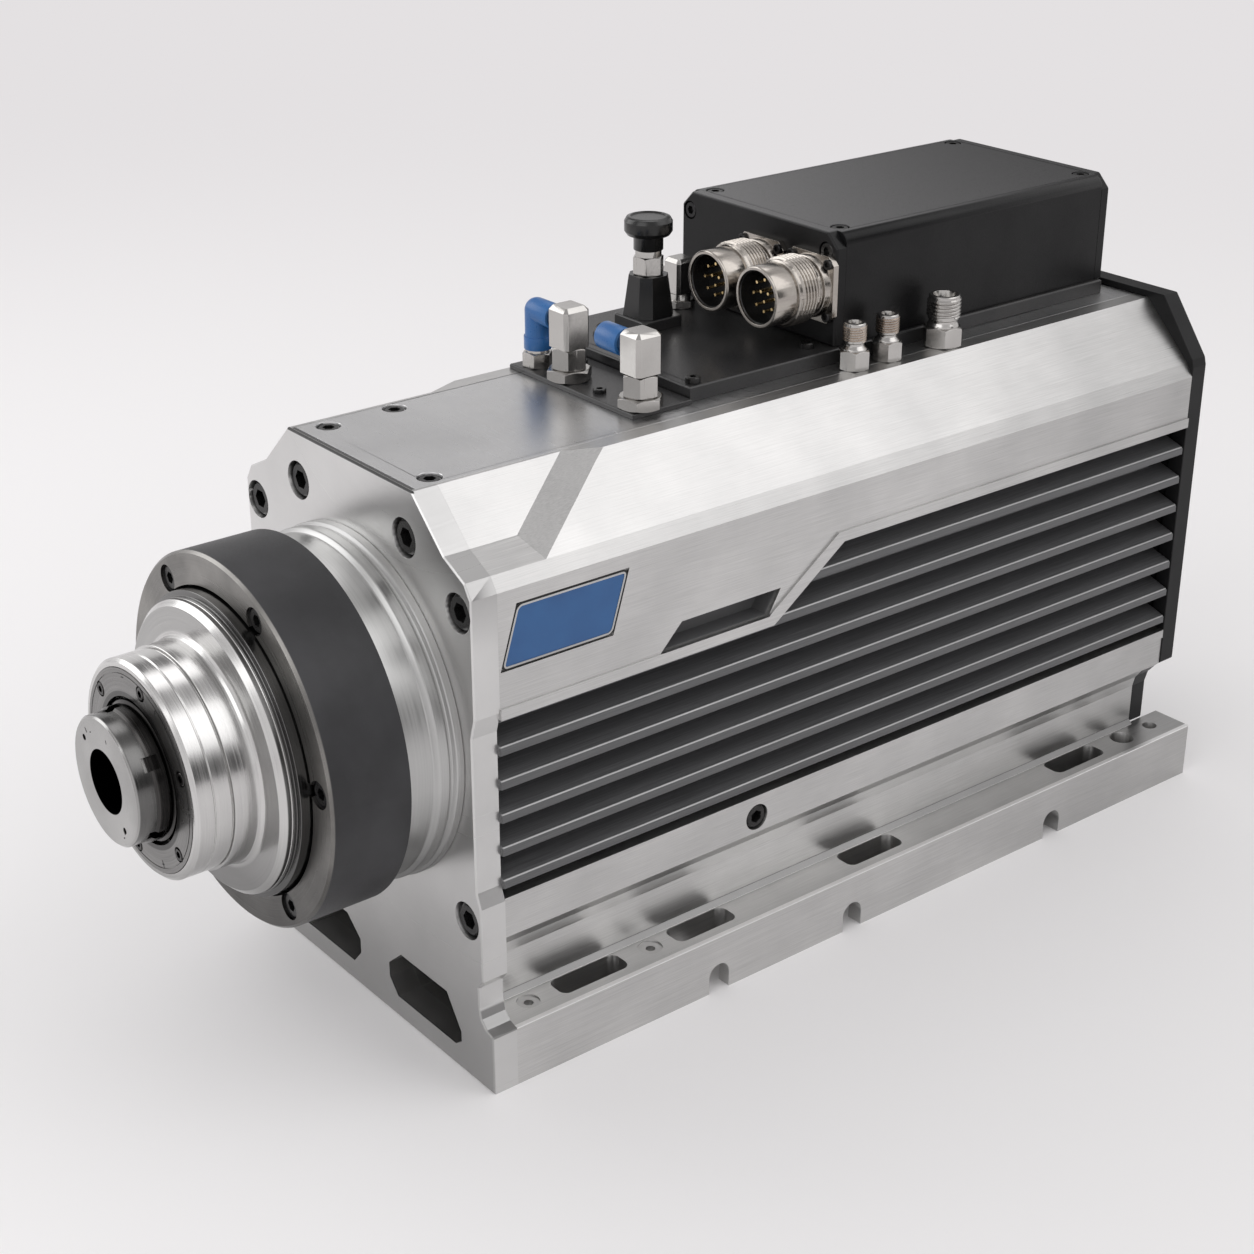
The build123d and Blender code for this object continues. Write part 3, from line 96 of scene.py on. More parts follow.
def add_noise(group, vector, detail, roughness=0.5):
    """Noise pattern inside a group, laid out by a vector."""
    pattern = group.nodes.new("ShaderNodeTexNoise")
    pattern.inputs["Detail"].default_value = detail
    pattern.inputs["Roughness"].default_value = roughness
    group.links.new(vector, pattern.inputs["Vector"])
    return pattern


def brushed_group():
    """Fine lines drawn out along one axis, with a slower cloud over them."""
    group, start, end = new_group(
        "brushed_lines",
        [("Stretch", "NodeSocketVector", (1.0, 0.01, 1.0)), ("Fineness", "NodeSocketFloat", 4000.0)],
        [("Lines", "NodeSocketFloat"), ("Cloud", "NodeSocketFloat")])
    tree = group.nodes
    link = group.links.new
    place = tree.new("ShaderNodeTexCoord")
    stretch = tree.new("ShaderNodeMapping")
    link(place.outputs["Object"], stretch.inputs["Vector"])
    link(start.outputs["Stretch"], stretch.inputs["Scale"])
    lines = add_noise(group, stretch.outputs["Vector"], 3.0, 0.65)
    link(start.outputs["Fineness"], lines.inputs["Scale"])
    link(lines.outputs["Fac"], end.inputs["Lines"])
    cloud = add_noise(group, place.outputs["Object"], 4.0)
    cloud.inputs["Scale"].default_value = 28.0
    link(cloud.outputs["Fac"], end.inputs["Cloud"])
    return group


def turned_group():
    """Rings left by a lathe tool round the spindle axis, and along its length."""
    group, start, end = new_group(
        "turned_rings",
        [("Ring Fineness", "NodeSocketFloat", 900.0), ("Wobble", "NodeSocketFloat", 0.4)],
        [("Rings", "NodeSocketFloat"), ("Cloud", "NodeSocketFloat"), ("Radius", "NodeSocketFloat")])
    tree = group.nodes
    link = group.links.new
    place = tree.new("ShaderNodeTexCoord")
    centre = tree.new("ShaderNodeMapping")
    centre.inputs["Location"].default_value = (0.0, 0.0, -AXIS_HEIGHT)
    link(place.outputs["Object"], centre.inputs["Vector"])
    parts = tree.new("ShaderNodeSeparateXYZ")
    link(centre.outputs["Vector"], parts.inputs["Vector"])
    flat = tree.new("ShaderNodeCombineXYZ")
    link(parts.outputs["X"], flat.inputs["X"])
    link(parts.outputs["Z"], flat.inputs["Y"])
    radius = tree.new("ShaderNodeVectorMath")
    radius.operation = "LENGTH"
    link(flat.outputs["Vector"], radius.inputs[0])
    around = tree.new("ShaderNodeMath")
    around.operation = "ARCTAN2"
    link(parts.outputs["Z"], around.inputs[0])
    link(parts.outputs["X"], around.inputs[1])
    slow = tree.new("ShaderNodeMath")
    slow.operation = "MULTIPLY"
    slow.inputs[1].default_value = 0.0006
    link(around.outputs["Value"], slow.inputs[0])
    track = tree.new("ShaderNodeCombineXYZ")
    link(radius.outputs["Value"], track.inputs["X"])
    link(radius.outputs["Value"], end.inputs["Radius"])
    link(parts.outputs["Y"], track.inputs["Y"])
    link(slow.outputs["Value"], track.inputs["Z"])
    rings = add_noise(group, track.outputs["Vector"], 3.0, 0.7)
    link(start.outputs["Ring Fineness"], rings.inputs["Scale"])
    link(start.outputs["Wobble"], rings.inputs["Distortion"])
    link(rings.outputs["Fac"], end.inputs["Rings"])
    cloud = add_noise(group, place.outputs["Object"], 4.0)
    cloud.inputs["Scale"].default_value = 40.0
    link(cloud.outputs["Fac"], end.inputs["Cloud"])
    return group


def grain_group():
    """Even fine grain of anodised, cast or moulded surfaces, with a slower cloud."""
    group, start, end = new_group(
        "fine_grain",
        [("Grain Size", "NodeSocketFloat", 2200.0), ("Cloud Size", "NodeSocketFloat", 45.0)],
        [("Grain", "NodeSocketFloat"), ("Cloud", "NodeSocketFloat")])
    link = group.links.new
    place = group.nodes.new("ShaderNodeTexCoord")
    grain = add_noise(group, place.outputs["Object"], 2.0)
    link(start.outputs["Grain Size"], grain.inputs["Scale"])
    link(grain.outputs["Fac"], end.inputs["Grain"])
    cloud = add_noise(group, place.outputs["Object"], 5.0)
    link(start.outputs["Cloud Size"], cloud.inputs["Scale"])
    link(cloud.outputs["Fac"], end.inputs["Cloud"])
    return group


def swirl_group():
    """Wide faint arcs left by a facing cutter, round a centre in the plane of the face."""
    group, start, end = new_group(
        "facing_arcs",
        [("Centre", "NodeSocketVector", (0.0, 0.0, 0.0)), ("Arc Fineness", "NodeSocketFloat", 700.0)],
        [("Arcs", "NodeSocketFloat")])
    tree = group.nodes
    link = group.links.new
    place = tree.new("ShaderNodeTexCoord")
    shift = tree.new("ShaderNodeVectorMath")
    shift.operation = "SUBTRACT"
    link(place.outputs["Object"], shift.inputs[0])
    link(start.outputs["Centre"], shift.inputs[1])
    reach = tree.new("ShaderNodeVectorMath")
    reach.operation = "LENGTH"
    link(shift.outputs["Vector"], reach.inputs[0])
    track = tree.new("ShaderNodeCombineXYZ")
    link(reach.outputs["Value"], track.inputs["X"])
    arcs = add_noise(group, track.outputs["Vector"], 3.0, 0.7)
    link(start.outputs["Arc Fineness"], arcs.inputs["Scale"])
    link(arcs.outputs["Fac"], end.inputs["Arcs"])
    return group


def axis_mask_group():
    """Rises from black to white between two distances from a middle plane."""
    group, start, end = new_group(
        "place_mask",
        [("Axis", "NodeSocketVector", (1.0, 0.0, 0.0)), ("From", "NodeSocketFloat", 0.0),
         ("To", "NodeSocketFloat", 1.0)],
        [("Mask", "NodeSocketFloat"), ("Place", "NodeSocketFloat")])
    tree = group.nodes
    link = group.links.new
    place = tree.new("ShaderNodeTexCoord")
    along = tree.new("ShaderNodeVectorMath")
    along.operation = "DOT_PRODUCT"
    link(place.outputs["Object"], along.inputs[0])
    link(start.outputs["Axis"], along.inputs[1])
    either = tree.new("ShaderNodeMath")
    either.operation = "ABSOLUTE"
    link(along.outputs["Value"], either.inputs[0])
    spread = tree.new("ShaderNodeMapRange")
    spread.interpolation_type = "SMOOTHSTEP"
    link(either.outputs["Value"], spread.inputs["Value"])
    link(start.outputs["From"], spread.inputs["From Min"])
    link(start.outputs["To"], spread.inputs["From Max"])
    link(spread.outputs["Result"], end.inputs["Mask"])
    link(along.outputs["Value"], end.inputs["Place"])
    return group


BRUSHED = brushed_group()
TURNED = turned_group()
GRAIN = grain_group()
SWIRL = swirl_group()
MASK = axis_mask_group()


# Materials

class Wiring:
    """A node tree under construction, with short ways to wire it."""

    def __init__(self, tree):
        self.tree = tree

    def link(self, start, end):
        """Wires an output to an input."""
        self.tree.links.new(start, end)

    def node(self, kind):
        """Adds one node."""
        return self.tree.nodes.new(kind)

    def fill(self, socket, source):
        """Wires a pattern to an input, or sets the input to a plain value or colour."""
        if isinstance(source, float):
            socket.default_value = source
        elif isinstance(source, tuple):
            socket.default_value = (*source, 1.0)
        else:
            self.link(source, socket)

    def ramp(self, source, low, high, value_low, value_high, smooth=False):
        """Maps a pattern between low and high onto two values."""
        node = self.node("ShaderNodeMapRange")
        if smooth:
            node.interpolation_type = "SMOOTHSTEP"
        node.inputs["From Min"].default_value = low
        node.inputs["From Max"].default_value = high
        node.inputs["To Min"].default_value = value_low
        node.inputs["To Max"].default_value = value_high
        self.link(source, node.inputs["Value"])
        return node.outputs["Result"]

    def blend(self, mask, first, second, kind="RGBA"):
        """Blends two inputs of one kind, plain or patterned, by a mask; colours if nothing is said."""
        node = self.node("ShaderNodeMix")
        node.data_type = kind
        self.link(mask, node.inputs["Factor"])
        self.fill(node.inputs["A"], first)
        self.fill(node.inputs["B"], second)
        return node.outputs["Result"]

    def mix(self, mask, first, second):
        """Blends two values, plain or patterned, by a mask."""
        return self.blend(mask, first, second, "FLOAT")

    def arithmetic(self, operation, first, second):
        """Result of one operation on two values or patterns."""
        node = self.node("ShaderNodeMath")
        node.operation = operation
        self.fill(node.inputs[0], first)
        self.fill(node.inputs[1], second)
        return node.outputs["Value"]

    def blend_shaders(self, mask, first, second, end):
        """Blends two shaders by a mask and wires them to the tree's output."""
        node = self.node("ShaderNodeMixShader")
        self.link(mask, node.inputs["Fac"])
        self.link(first, node.inputs[1])
        self.link(second, node.inputs[2])
        self.link(node.outputs["Shader"], end.inputs["Surface"])


class Finish(Wiring):
    """A material of a piece."""

    def __init__(self, name, metallic, roughness, specular=0.5):
        self.material = bpy.data.materials.new(name)
        self.material.use_nodes = True
        super().__init__(self.material.node_tree)
        self.shader = self.tree.nodes["Principled BSDF"]
        self.shader.inputs["Metallic"].default_value = metallic
        self.shader.inputs["Roughness"].default_value = roughness
        self.shader.inputs["Specular IOR Level"].default_value = specular

    def group(self, group, **values):
        """Places a shared effect with its own values."""
        node = self.node("ShaderNodeGroup")
        node.node_tree = group
        for label, value in values.items():
            node.inputs[label.replace("_", " ")].default_value = value
        return node

    def shades(self, pattern, dark, bright, low=0.3):
        """Two colours blended by a pattern, spread out round its middle."""
        return self.blend(self.ramp(pattern, low, 1.0 - low, 0.0, 1.0), dark, bright)

    def scaled(self, colour, share):
        """Darkens or lightens a colour pattern by a value pattern."""
        node = self.node("ShaderNodeVectorMath")
        node.operation = "SCALE"
        self.link(colour, node.inputs[0])
        self.link(share, node.inputs["Scale"])
        return node.outputs["Vector"]

    def place(self, axis):
        """Distance along an axis from the middle of the frame."""
        return self.group(MASK, Axis=axis).outputs["Place"]

    def place_ramp(self, axis, low, high, value_low, value_high):
        """Value that runs between two places along an axis."""
        return self.ramp(self.place(axis), low, high, value_low, value_high)

    def beyond(self, axis, start, end):
        """Mask that is white further out than end along an axis, on either side."""
        return self.group(MASK, Axis=axis, From=start, To=end).outputs["Mask"]

    def short_of(self, axis, start, end):
        """Mask that is white nearer the middle than start along an axis, on either side."""
        return self.arithmetic("SUBTRACT", 1.0, self.beyond(axis, start, end))

    def both(self, first, second):
        """Mask that is white where both masks are."""
        return self.arithmetic("MULTIPLY", first, second)

    def bump(self, height, strength, distance):
        """Raises the surface by a pattern."""
        node = self.node("ShaderNodeBump")
        node.inputs["Strength"].default_value = strength
        node.inputs["Distance"].default_value = distance
        self.link(height, node.inputs["Height"])
        self.link(node.outputs["Normal"], self.shader.inputs["Normal"])

    def colour(self, source):
        """Wires the base colour."""
        self.link(source, self.shader.inputs["Base Color"])

    def roughness(self, source):
        """Wires the roughness."""
        self.link(source, self.shader.inputs["Roughness"])

    def metallic(self, source):
        """Wires how metallic the surface is."""
        self.link(source, self.shader.inputs["Metallic"])


# Stretch of drawn lines along an axis, and depth of lines, tool rings and grain

ALONG_X = (0.012, 1.0, 1.0)
ALONG_Y = (1.0, 0.012, 1.0)
LINE_DEPTH = 0.00008
RING_DEPTH = 0.0001
GRAIN_DEPTH = 0.00006


def brushed_metal(name, tone, rough, stretch, fineness=3600.0, strength=0.22):
    """Metal with drawn lines: tone is a (dark, bright) pair of colours."""
    finish = Finish(name, 1.0, rough)
    lines = finish.group(BRUSHED, Stretch=stretch, Fineness=fineness)
    finish.colour(finish.shades(lines.outputs["Cloud"], *tone))
    finish.roughness(finish.ramp(lines.outputs["Lines"], 0.25, 0.75, rough - 0.07, rough + 0.09))
    finish.bump(lines.outputs["Lines"], strength, LINE_DEPTH)
    return finish.material


def turned_metal(name, tone, rough, fineness=1500.0, strength=0.3, shoulder=None):
    """Lathe-turned metal with tool rings, and painted shade underneath.

    A shoulder is three radii: the face from the first to the second gets painted shade, the chamfer beyond
    gets a painted highlight, and from the third on the rim gets painted shade.
    """
    finish = Finish(name, 1.0, rough)
    rings = finish.group(TURNED, Ring_Fineness=fineness, Wobble=0.0)
    metal = finish.shades(rings.outputs["Rings"], *tone)
    # Painted shade: darker towards the underside.
    metal = finish.scaled(metal, finish.place_ramp(UP_AXIS, *TURNED_PAINTED_SHADE, 0.50, 1.0))
    if shoulder:
        inner, outer, rim = shoulder
        radius = rings.outputs["Radius"]
        # Painted shade on the shoulder face, a painted highlight on its chamfer and painted shade on the
        # rim.
        onto = finish.ramp(radius, inner - 1.0 * MM, inner, 1.0, 0.68)
        off = finish.ramp(radius, outer - 0.1 * MM, outer + 0.1 * MM, 1.0, 1.45)
        side = finish.ramp(radius, rim - 0.1 * MM, rim + 0.1 * MM, 1.0, 0.26)
        metal = finish.scaled(finish.scaled(finish.scaled(metal, onto), off), side)
    finish.colour(metal)
    finish.roughness(finish.ramp(rings.outputs["Rings"], 0.3, 0.7, rough - 0.05, rough + 0.08))
    finish.bump(rings.outputs["Rings"], strength, RING_DEPTH)
    return finish.material


def grained(name, tone, metallic, rough, grain=2200.0, strength=0.12, spread=0.08, specular=0.5):
    """Anodised, painted, blued or moulded surface with an even grain."""
    finish = Finish(name, metallic, rough, specular)
    pattern = finish.group(GRAIN, Grain_Size=grain)
    finish.colour(finish.shades(pattern.outputs["Cloud"], *tone, low=0.35))
    finish.roughness(finish.ramp(pattern.outputs["Grain"], 0.3, 0.7, rough - spread / 2, rough + spread))
    finish.bump(pattern.outputs["Grain"], strength, GRAIN_DEPTH)
    return finish.material


ALUMINIUM = ((0.56, 0.557, 0.552), (0.65, 0.645, 0.637))
MILLED = ((0.60, 0.597, 0.592), (0.69, 0.686, 0.68))

# Places where a finish, a painted shade or a painted highlight changes: from and to for a gradual change,
# one value for a sudden one

TURNED_PAINTED_SHADE = (92.0 * MM, 128.0 * MM)
RING_PAINTED_SHADE = (75.0 * MM, 150.0 * MM)
PLATE_PAINTED_LOW_SHADE = (20.0 * MM, 110.0 * MM)
PLATE_PAINTED_SHOULDER_SHADE = (180.0 * MM, 200.0 * MM)
PANEL_FACE = 75.2 * MM
POCKET_FLOOR = 156.0 * MM
POCKET_ROOF = 166.5 * MM
FIN_FACE = 74.6 * MM
FIN_EDGE_HIGHLIGHT = 0.52 * MM
RING_FACE = HALF_LENGTH + 56.0 * MM
COVER_OPENING = 29.2 * MM
SHAFT_RIM = 24.1 * MM
MOUTH_RADIUS = 12.02 * MM

# Radii on the nose at which its shoulder face begins and ends and its rim begins; the painted shade and
# painted highlight of the shoulder change there

NOSE_SHOULDER = (44.6 * MM, 53.0 * MM, 55.1 * MM)

SIDE_AXIS = (1.0, 0.0, 0.0)
SPINDLE_AXIS = (0.0, 1.0, 0.0)
UP_AXIS = (0.0, 0.0, 1.0)


def housing_finish():
    """Drawn aluminium with painted shade to the rear, in the foot's corner and in the pocket, and a painted
    highlight on the foot's edge.
    """
    finish = Finish("housing_aluminium", 1.0, 0.33)
    lines = finish.group(BRUSHED, Stretch=ALONG_Y, Fineness=3600.0)
    metal = finish.shades(lines.outputs["Cloud"], *ALUMINIUM)
    streaks = finish.ramp(lines.outputs["Lines"], 0.3, 0.72, 0.84, 1.06)
    # Painted shade: darker towards the rear.
    painted_rear_shade = finish.place_ramp(SPINDLE_AXIS, depth(220), depth(385), 1.0, 0.80)
    shade = finish.scaled(finish.scaled(metal, streaks), painted_rear_shade)
    # Painted highlight: a near-white strip on the foot's top face along its outer edge.
    on_foot = finish.short_of(UP_AXIS, FOOT_TOP, FOOT_TOP + 1.0 * MM)
    outer_edge = finish.beyond(SIDE_AXIS, FOOT_EDGE - 2.2 * MM, FOOT_EDGE - 1.6 * MM)
    top_face = finish.beyond(UP_AXIS, FOOT_TOP - 0.7 * MM, FOOT_TOP - 0.3 * MM)
    painted_foot_edge_highlight = finish.both(finish.both(on_foot, outer_edge), top_face)
    shade = finish.blend(painted_foot_edge_highlight, shade, (0.92, 0.915, 0.91))
    # Painted shade in the corner where the foot's top meets the wall above it.
    corner_top = FOOT_TOP + CORNER_RISE
    corner = finish.arithmetic("SUBTRACT",
                               finish.beyond(UP_AXIS, FOOT_TOP + 0.03 * MM, FOOT_TOP + 0.1 * MM),
                               finish.beyond(UP_AXIS, corner_top, corner_top + 0.6 * MM))
    shade = finish.scaled(shade, finish.ramp(corner, 0.0, 1.0, 1.0, 0.40))
    # Painted shade: dark grey and not metallic inside the side pocket.
    inside = finish.short_of(SIDE_AXIS, PANEL_FACE - 2.7 * MM, PANEL_FACE)
    above = finish.beyond(UP_AXIS, POCKET_FLOOR, POCKET_FLOOR + 0.3 * MM)
    below = finish.short_of(UP_AXIS, POCKET_ROOF, POCKET_ROOF + 0.3 * MM)
    painted_pocket_shade = finish.both(finish.both(above, below), inside)
    finish.colour(finish.blend(painted_pocket_shade, shade, (0.115, 0.115, 0.118)))
    finish.metallic(finish.arithmetic("SUBTRACT", 1.0, painted_pocket_shade))
    finish.roughness(finish.ramp(lines.outputs["Lines"], 0.25, 0.75, 0.27, 0.43))
    finish.bump(lines.outputs["Lines"], 0.25, LINE_DEPTH)
    return finish.material


def front_plate_finish():
    """Face-milled aluminium with faint arcs, painted shade low down, near the foot and high up, and a
    painted shadow line along its top edge.
    """
    finish = Finish("front_plate_aluminium", 1.0, 0.30)
    arcs = finish.group(SWIRL, Centre=(0.03, -0.2, 0.30), Arc_Fineness=1100.0)
    grain = finish.group(GRAIN, Grain_Size=1500.0, Cloud_Size=22.0)
    metal = finish.shades(grain.outputs["Cloud"], *MILLED)
    front = finish.beyond(SPINDLE_AXIS, HALF_LENGTH - 0.7 * MM, HALF_LENGTH - 0.3 * MM)
    # Painted shade: the front face darker low down, standing for the reflected shadow under the nose.
    front_painted_low_shade = finish.scaled(metal, finish.place_ramp(UP_AXIS, *PLATE_PAINTED_LOW_SHADE, 0.62, 1.0))
    # Painted shade: the plate's outer faces darker in a band just above the foot.
    above = finish.beyond(UP_AXIS, FOOT_TOP - 1.0 * MM, FOOT_TOP - 0.5 * MM)
    below = finish.beyond(UP_AXIS, FOOT_TOP + 7.0 * MM, FOOT_TOP + 8.0 * MM)
    outside = finish.beyond(SIDE_AXIS, FOOT_EDGE - 11.0 * MM, FOOT_EDGE - 10.0 * MM)
    painted_foot_shade = finish.both(finish.arithmetic("SUBTRACT", above, below), outside)
    metal = finish.scaled(metal, finish.ramp(painted_foot_shade, 0.0, 1.0, 1.0, 0.45))
    # Painted shade: the plate's faces other than the front darker high up, toning down a reflection.
    upper = finish.place_ramp(UP_AXIS, *PLATE_PAINTED_SHOULDER_SHADE, 1.0, 0.74)
    metal = finish.blend(front, finish.scaled(metal, upper), front_painted_low_shade)
    # Painted shadow: a black line along the plate's top edge, standing for the gap to the housing.
    brink = finish.beyond(SPINDLE_AXIS, HALF_LENGTH - 1.1 * MM, HALF_LENGTH - 0.9 * MM)
    top = finish.beyond(UP_AXIS, PLATE_TOP - 0.7 * MM, PLATE_TOP - 0.5 * MM)
    finish.colour(finish.blend(finish.both(brink, top), metal, (0.03, 0.03, 0.03)))
    finish.roughness(finish.ramp(arcs.outputs["Arcs"], 0.25, 0.75, 0.25, 0.37))
    finish.bump(arcs.outputs["Arcs"], 0.18, LINE_DEPTH)
    return finish.material


def fin_finish():
    """Dark anodised fins, with slopes and outer faces in different greys as painted light and shade, and a
    painted highlight on the upper edge.
    """
    finish = Finish("fin_grey_anodising", 0.6, 0.38)
    lines = finish.group(BRUSHED, Stretch=ALONG_Y, Fineness=2600.0)
    # Painted light and shade: the slopes and the outer faces get different greys.
    slope = finish.shades(lines.outputs["Lines"],
                          (0.115, 0.116, 0.120), (0.180, 0.181, 0.186))
    tip = finish.shades(lines.outputs["Lines"],
                        (0.108, 0.109, 0.112), (0.145, 0.146, 0.150))
    outer = finish.beyond(SIDE_AXIS, FIN_FACE - 0.8 * MM, FIN_FACE)
    # Painted highlight: a light metallic line along the upper edge of each fin's outer face.
    below_top = finish.arithmetic("SUBTRACT", FIN_FIRST_TOP + 0.1 * MM, finish.place(UP_AXIS))
    within = finish.arithmetic("MODULO", below_top, FIN_PITCH)
    edge = finish.arithmetic("LESS_THAN", within, FIN_EDGE_HIGHLIGHT)
    worn = finish.both(edge, outer)
    body = finish.blend(outer, slope, tip)
    finish.colour(finish.blend(worn, body, (0.30, 0.30, 0.30)))
    finish.metallic(finish.mix(worn, 0.55, 1.0))
    finish.roughness(finish.ramp(lines.outputs["Lines"], 0.25, 0.75, 0.34, 0.48))
    finish.bump(lines.outputs["Lines"], 0.22, LINE_DEPTH)
    return finish.material


def ring_finish():
    """Black coated ring whose front face is machined back to dark bare steel, with painted shade low on
    that face.
    """
    finish = Finish("front_ring_coat", 0.35, 0.46, 0.4)
    front = finish.beyond(SPINDLE_AXIS, RING_FACE - 1.4 * MM, RING_FACE - 0.8 * MM)
    grain = finish.group(GRAIN, Grain_Size=3200.0)
    rings = finish.group(TURNED, Ring_Fineness=1300.0, Wobble=0.0)
    coat = finish.shades(grain.outputs["Cloud"], (0.030, 0.030, 0.032), (0.042, 0.042, 0.045), low=0.35)
    steel = finish.shades(rings.outputs["Cloud"], (0.17, 0.165, 0.158), (0.27, 0.262, 0.25), low=0.35)
    # Painted shade: the machined face darker towards its lower part.
    steel_painted_shade = finish.scaled(steel, finish.place_ramp(UP_AXIS, *RING_PAINTED_SHADE, 0.42, 1.0))
    finish.colour(finish.blend(front, coat, steel_painted_shade))
    finish.metallic(finish.mix(front, 0.3, 1.0))
    rough_coat = finish.ramp(grain.outputs["Grain"], 0.3, 0.7, 0.42, 0.54)
    rough_steel = finish.ramp(rings.outputs["Rings"], 0.3, 0.7, 0.24, 0.38)
    finish.roughness(finish.mix(front, rough_coat, rough_steel))
    finish.bump(finish.mix(front, grain.outputs["Grain"], rings.outputs["Rings"]), 0.35, RING_DEPTH)
    return finish.material


def box_finish():
    """Black anodised box with a painted sheen on its top that fades towards the rear."""
    finish = Finish("box_black_anodising", 0.05, 0.30, 0.20)
    grain = finish.group(GRAIN, Grain_Size=2600.0)
    coat = finish.shades(grain.outputs["Cloud"], (0.006, 0.006, 0.0065), (0.010, 0.010, 0.0105), low=0.35)
    # Painted sheen: the top face lighter at the front, fading towards the rear.
    painted_sheen = finish.blend(finish.place_ramp(SPINDLE_AXIS, depth(190), depth(370), 0.0, 1.0),
                        (0.100, 0.099, 0.101), (0.032, 0.032, 0.033))
    upper = finish.beyond(UP_AXIS, BOX_TOP - 0.5 * MM, BOX_TOP - 0.1 * MM)
    finish.colour(finish.blend(upper, coat, painted_sheen))
    finish.roughness(finish.ramp(grain.outputs["Grain"], 0.3, 0.7, 0.26, 0.38))
    finish.bump(grain.outputs["Grain"], 0.12, GRAIN_DEPTH)
    return finish.material


def cover_face_finish():
    """Ground steel of the nose cover, with painted shade round its opening."""
    finish = Finish("nose_cover_steel", 1.0, 0.24)
    rings = finish.group(TURNED, Ring_Fineness=1900.0, Wobble=0.0)
    steel = finish.shades(rings.outputs["Rings"],
                          (0.17, 0.167, 0.164), (0.25, 0.246, 0.242))
    # Painted shade: darker inside the opening, where the recess round the shaft lies.
    painted_recess_shade = finish.ramp(rings.outputs["Radius"], COVER_OPENING, COVER_OPENING + 0.3 * MM, 0.34, 1.0)
    finish.colour(finish.scaled(steel, painted_recess_shade))
    finish.roughness(finish.ramp(rings.outputs["Cloud"], 0.3, 0.7, 0.2, 0.34))
    finish.bump(rings.outputs["Rings"], 0.3, RING_DEPTH)
    return finish.material


def shaft_finish():
    """Ground shaft with painted shade round its rim and painted black shade inside the mouth."""
    finish = Finish("ground_shaft_steel", 1.0, 0.2)
    rings = finish.group(TURNED, Ring_Fineness=2600.0, Wobble=0.0)
    steel = finish.shades(rings.outputs["Cloud"],
                          (0.31, 0.307, 0.302), (0.44, 0.436, 0.43))
    radius = rings.outputs["Radius"]
    # Painted shade: darker on the disc's rim and nearly black inside the mouth.
    rim = finish.ramp(radius, SHAFT_RIM - 0.2 * MM, SHAFT_RIM, 1.0, 0.42)
    mouth = finish.ramp(radius, MOUTH_RADIUS, MOUTH_RADIUS + 0.08 * MM, 0.04, 1.0)
    finish.colour(finish.scaled(steel, finish.both(rim, mouth)))
    finish.roughness(finish.ramp(rings.outputs["Rings"], 0.3, 0.7, 0.16, 0.28))
    finish.bump(rings.outputs["Rings"], 0.15, RING_DEPTH)
    return finish.material


housing_metal = housing_finish()
plate_metal = front_plate_finish()
top_metal = brushed_metal("top_plate_aluminium", ((0.54, 0.54, 0.543), (0.62, 0.62, 0.622)), 0.31, ALONG_X)
nose_metal = turned_metal("turned_nose_steel", ((0.54, 0.535, 0.53), (0.66, 0.655, 0.645)), 0.2,
                          strength=0.12, shoulder=NOSE_SHOULDER)
flange_metal = turned_metal("turned_flange_aluminium", ((0.44, 0.44, 0.435), (0.52, 0.52, 0.513)), 0.33,
                            1400.0, 0.07)
cover_steel = cover_face_finish()
shaft_metal = shaft_finish()
nut_metal = turned_metal("blued_nut_steel", ((0.035, 0.034, 0.034), (0.075, 0.072, 0.070)), 0.24)
plug_metal = grained("plug_aluminium", ((0.48, 0.475, 0.47), (0.58, 0.575, 0.57)), 1.0, 0.36)
ring_coat = ring_finish()
cover_coat = grained("rear_cover_black", ((0.009, 0.009, 0.0095), (0.014, 0.014, 0.0145)), 0.05, 0.36,
                     specular=0.18)
box_coat = box_finish()
deck_coat = grained("deck_black_anodising", ((0.022, 0.022, 0.023), (0.033, 0.032, 0.032)), 0.15, 0.30)
fin_coat = fin_finish()
screw_black = grained("black_oiled_steel", ((0.022, 0.022, 0.023), (0.045, 0.044, 0.043)), 0.8, 0.28)
nickel = grained("nickel_plating", ((0.45, 0.437, 0.422), (0.51, 0.497, 0.48)), 1.0, 0.2, grain=900.0,
                 strength=0.005, spread=0.03)
connector_nickel = grained("connector_nickel", ((0.37, 0.342, 0.312), (0.46, 0.430, 0.396)), 1.0, 0.19,
                           grain=900.0, strength=0.02)
worn_nickel = grained("thread_nickel_worn", ((0.40, 0.33, 0.275), (0.52, 0.45, 0.39)), 1.0, 0.25,
                       grain=1400.0, strength=0.08)
black_moulding = grained("black_moulding", ((0.006, 0.006, 0.006), (0.010, 0.010, 0.010)), 0.0, 0.24,
                         grain=1200.0, strength=0.01, spread=0.02)
blue_moulding = grained("blue_moulding", ((0.018, 0.105, 0.31), (0.028, 0.140, 0.37)), 0.0, 0.30,
                        grain=1200.0, strength=0.04)
pin_gold = grained("contact_gold", ((0.72, 0.52, 0.24), (0.84, 0.64, 0.34)), 1.0, 0.22)
copper_wire = grained("winding_copper", ((0.45, 0.20, 0.09), (0.60, 0.30, 0.14)), 0.9, 0.4)
core_steel = grained("laminated_steel", ((0.25, 0.25, 0.26), (0.34, 0.34, 0.35)), 1.0, 0.45)
bearing_steel = turned_metal("bearing_steel", ((0.50, 0.50, 0.49), (0.60, 0.60, 0.59)), 0.16)
seal_rubber = grained("seal_rubber", ((0.012, 0.012, 0.012), (0.02, 0.02, 0.02)), 0.0, 0.6)
badge_blue = grained("badge_blue", ((0.016, 0.080, 0.23), (0.022, 0.105, 0.28)), 0.0, 0.32,
                     strength=0.02)
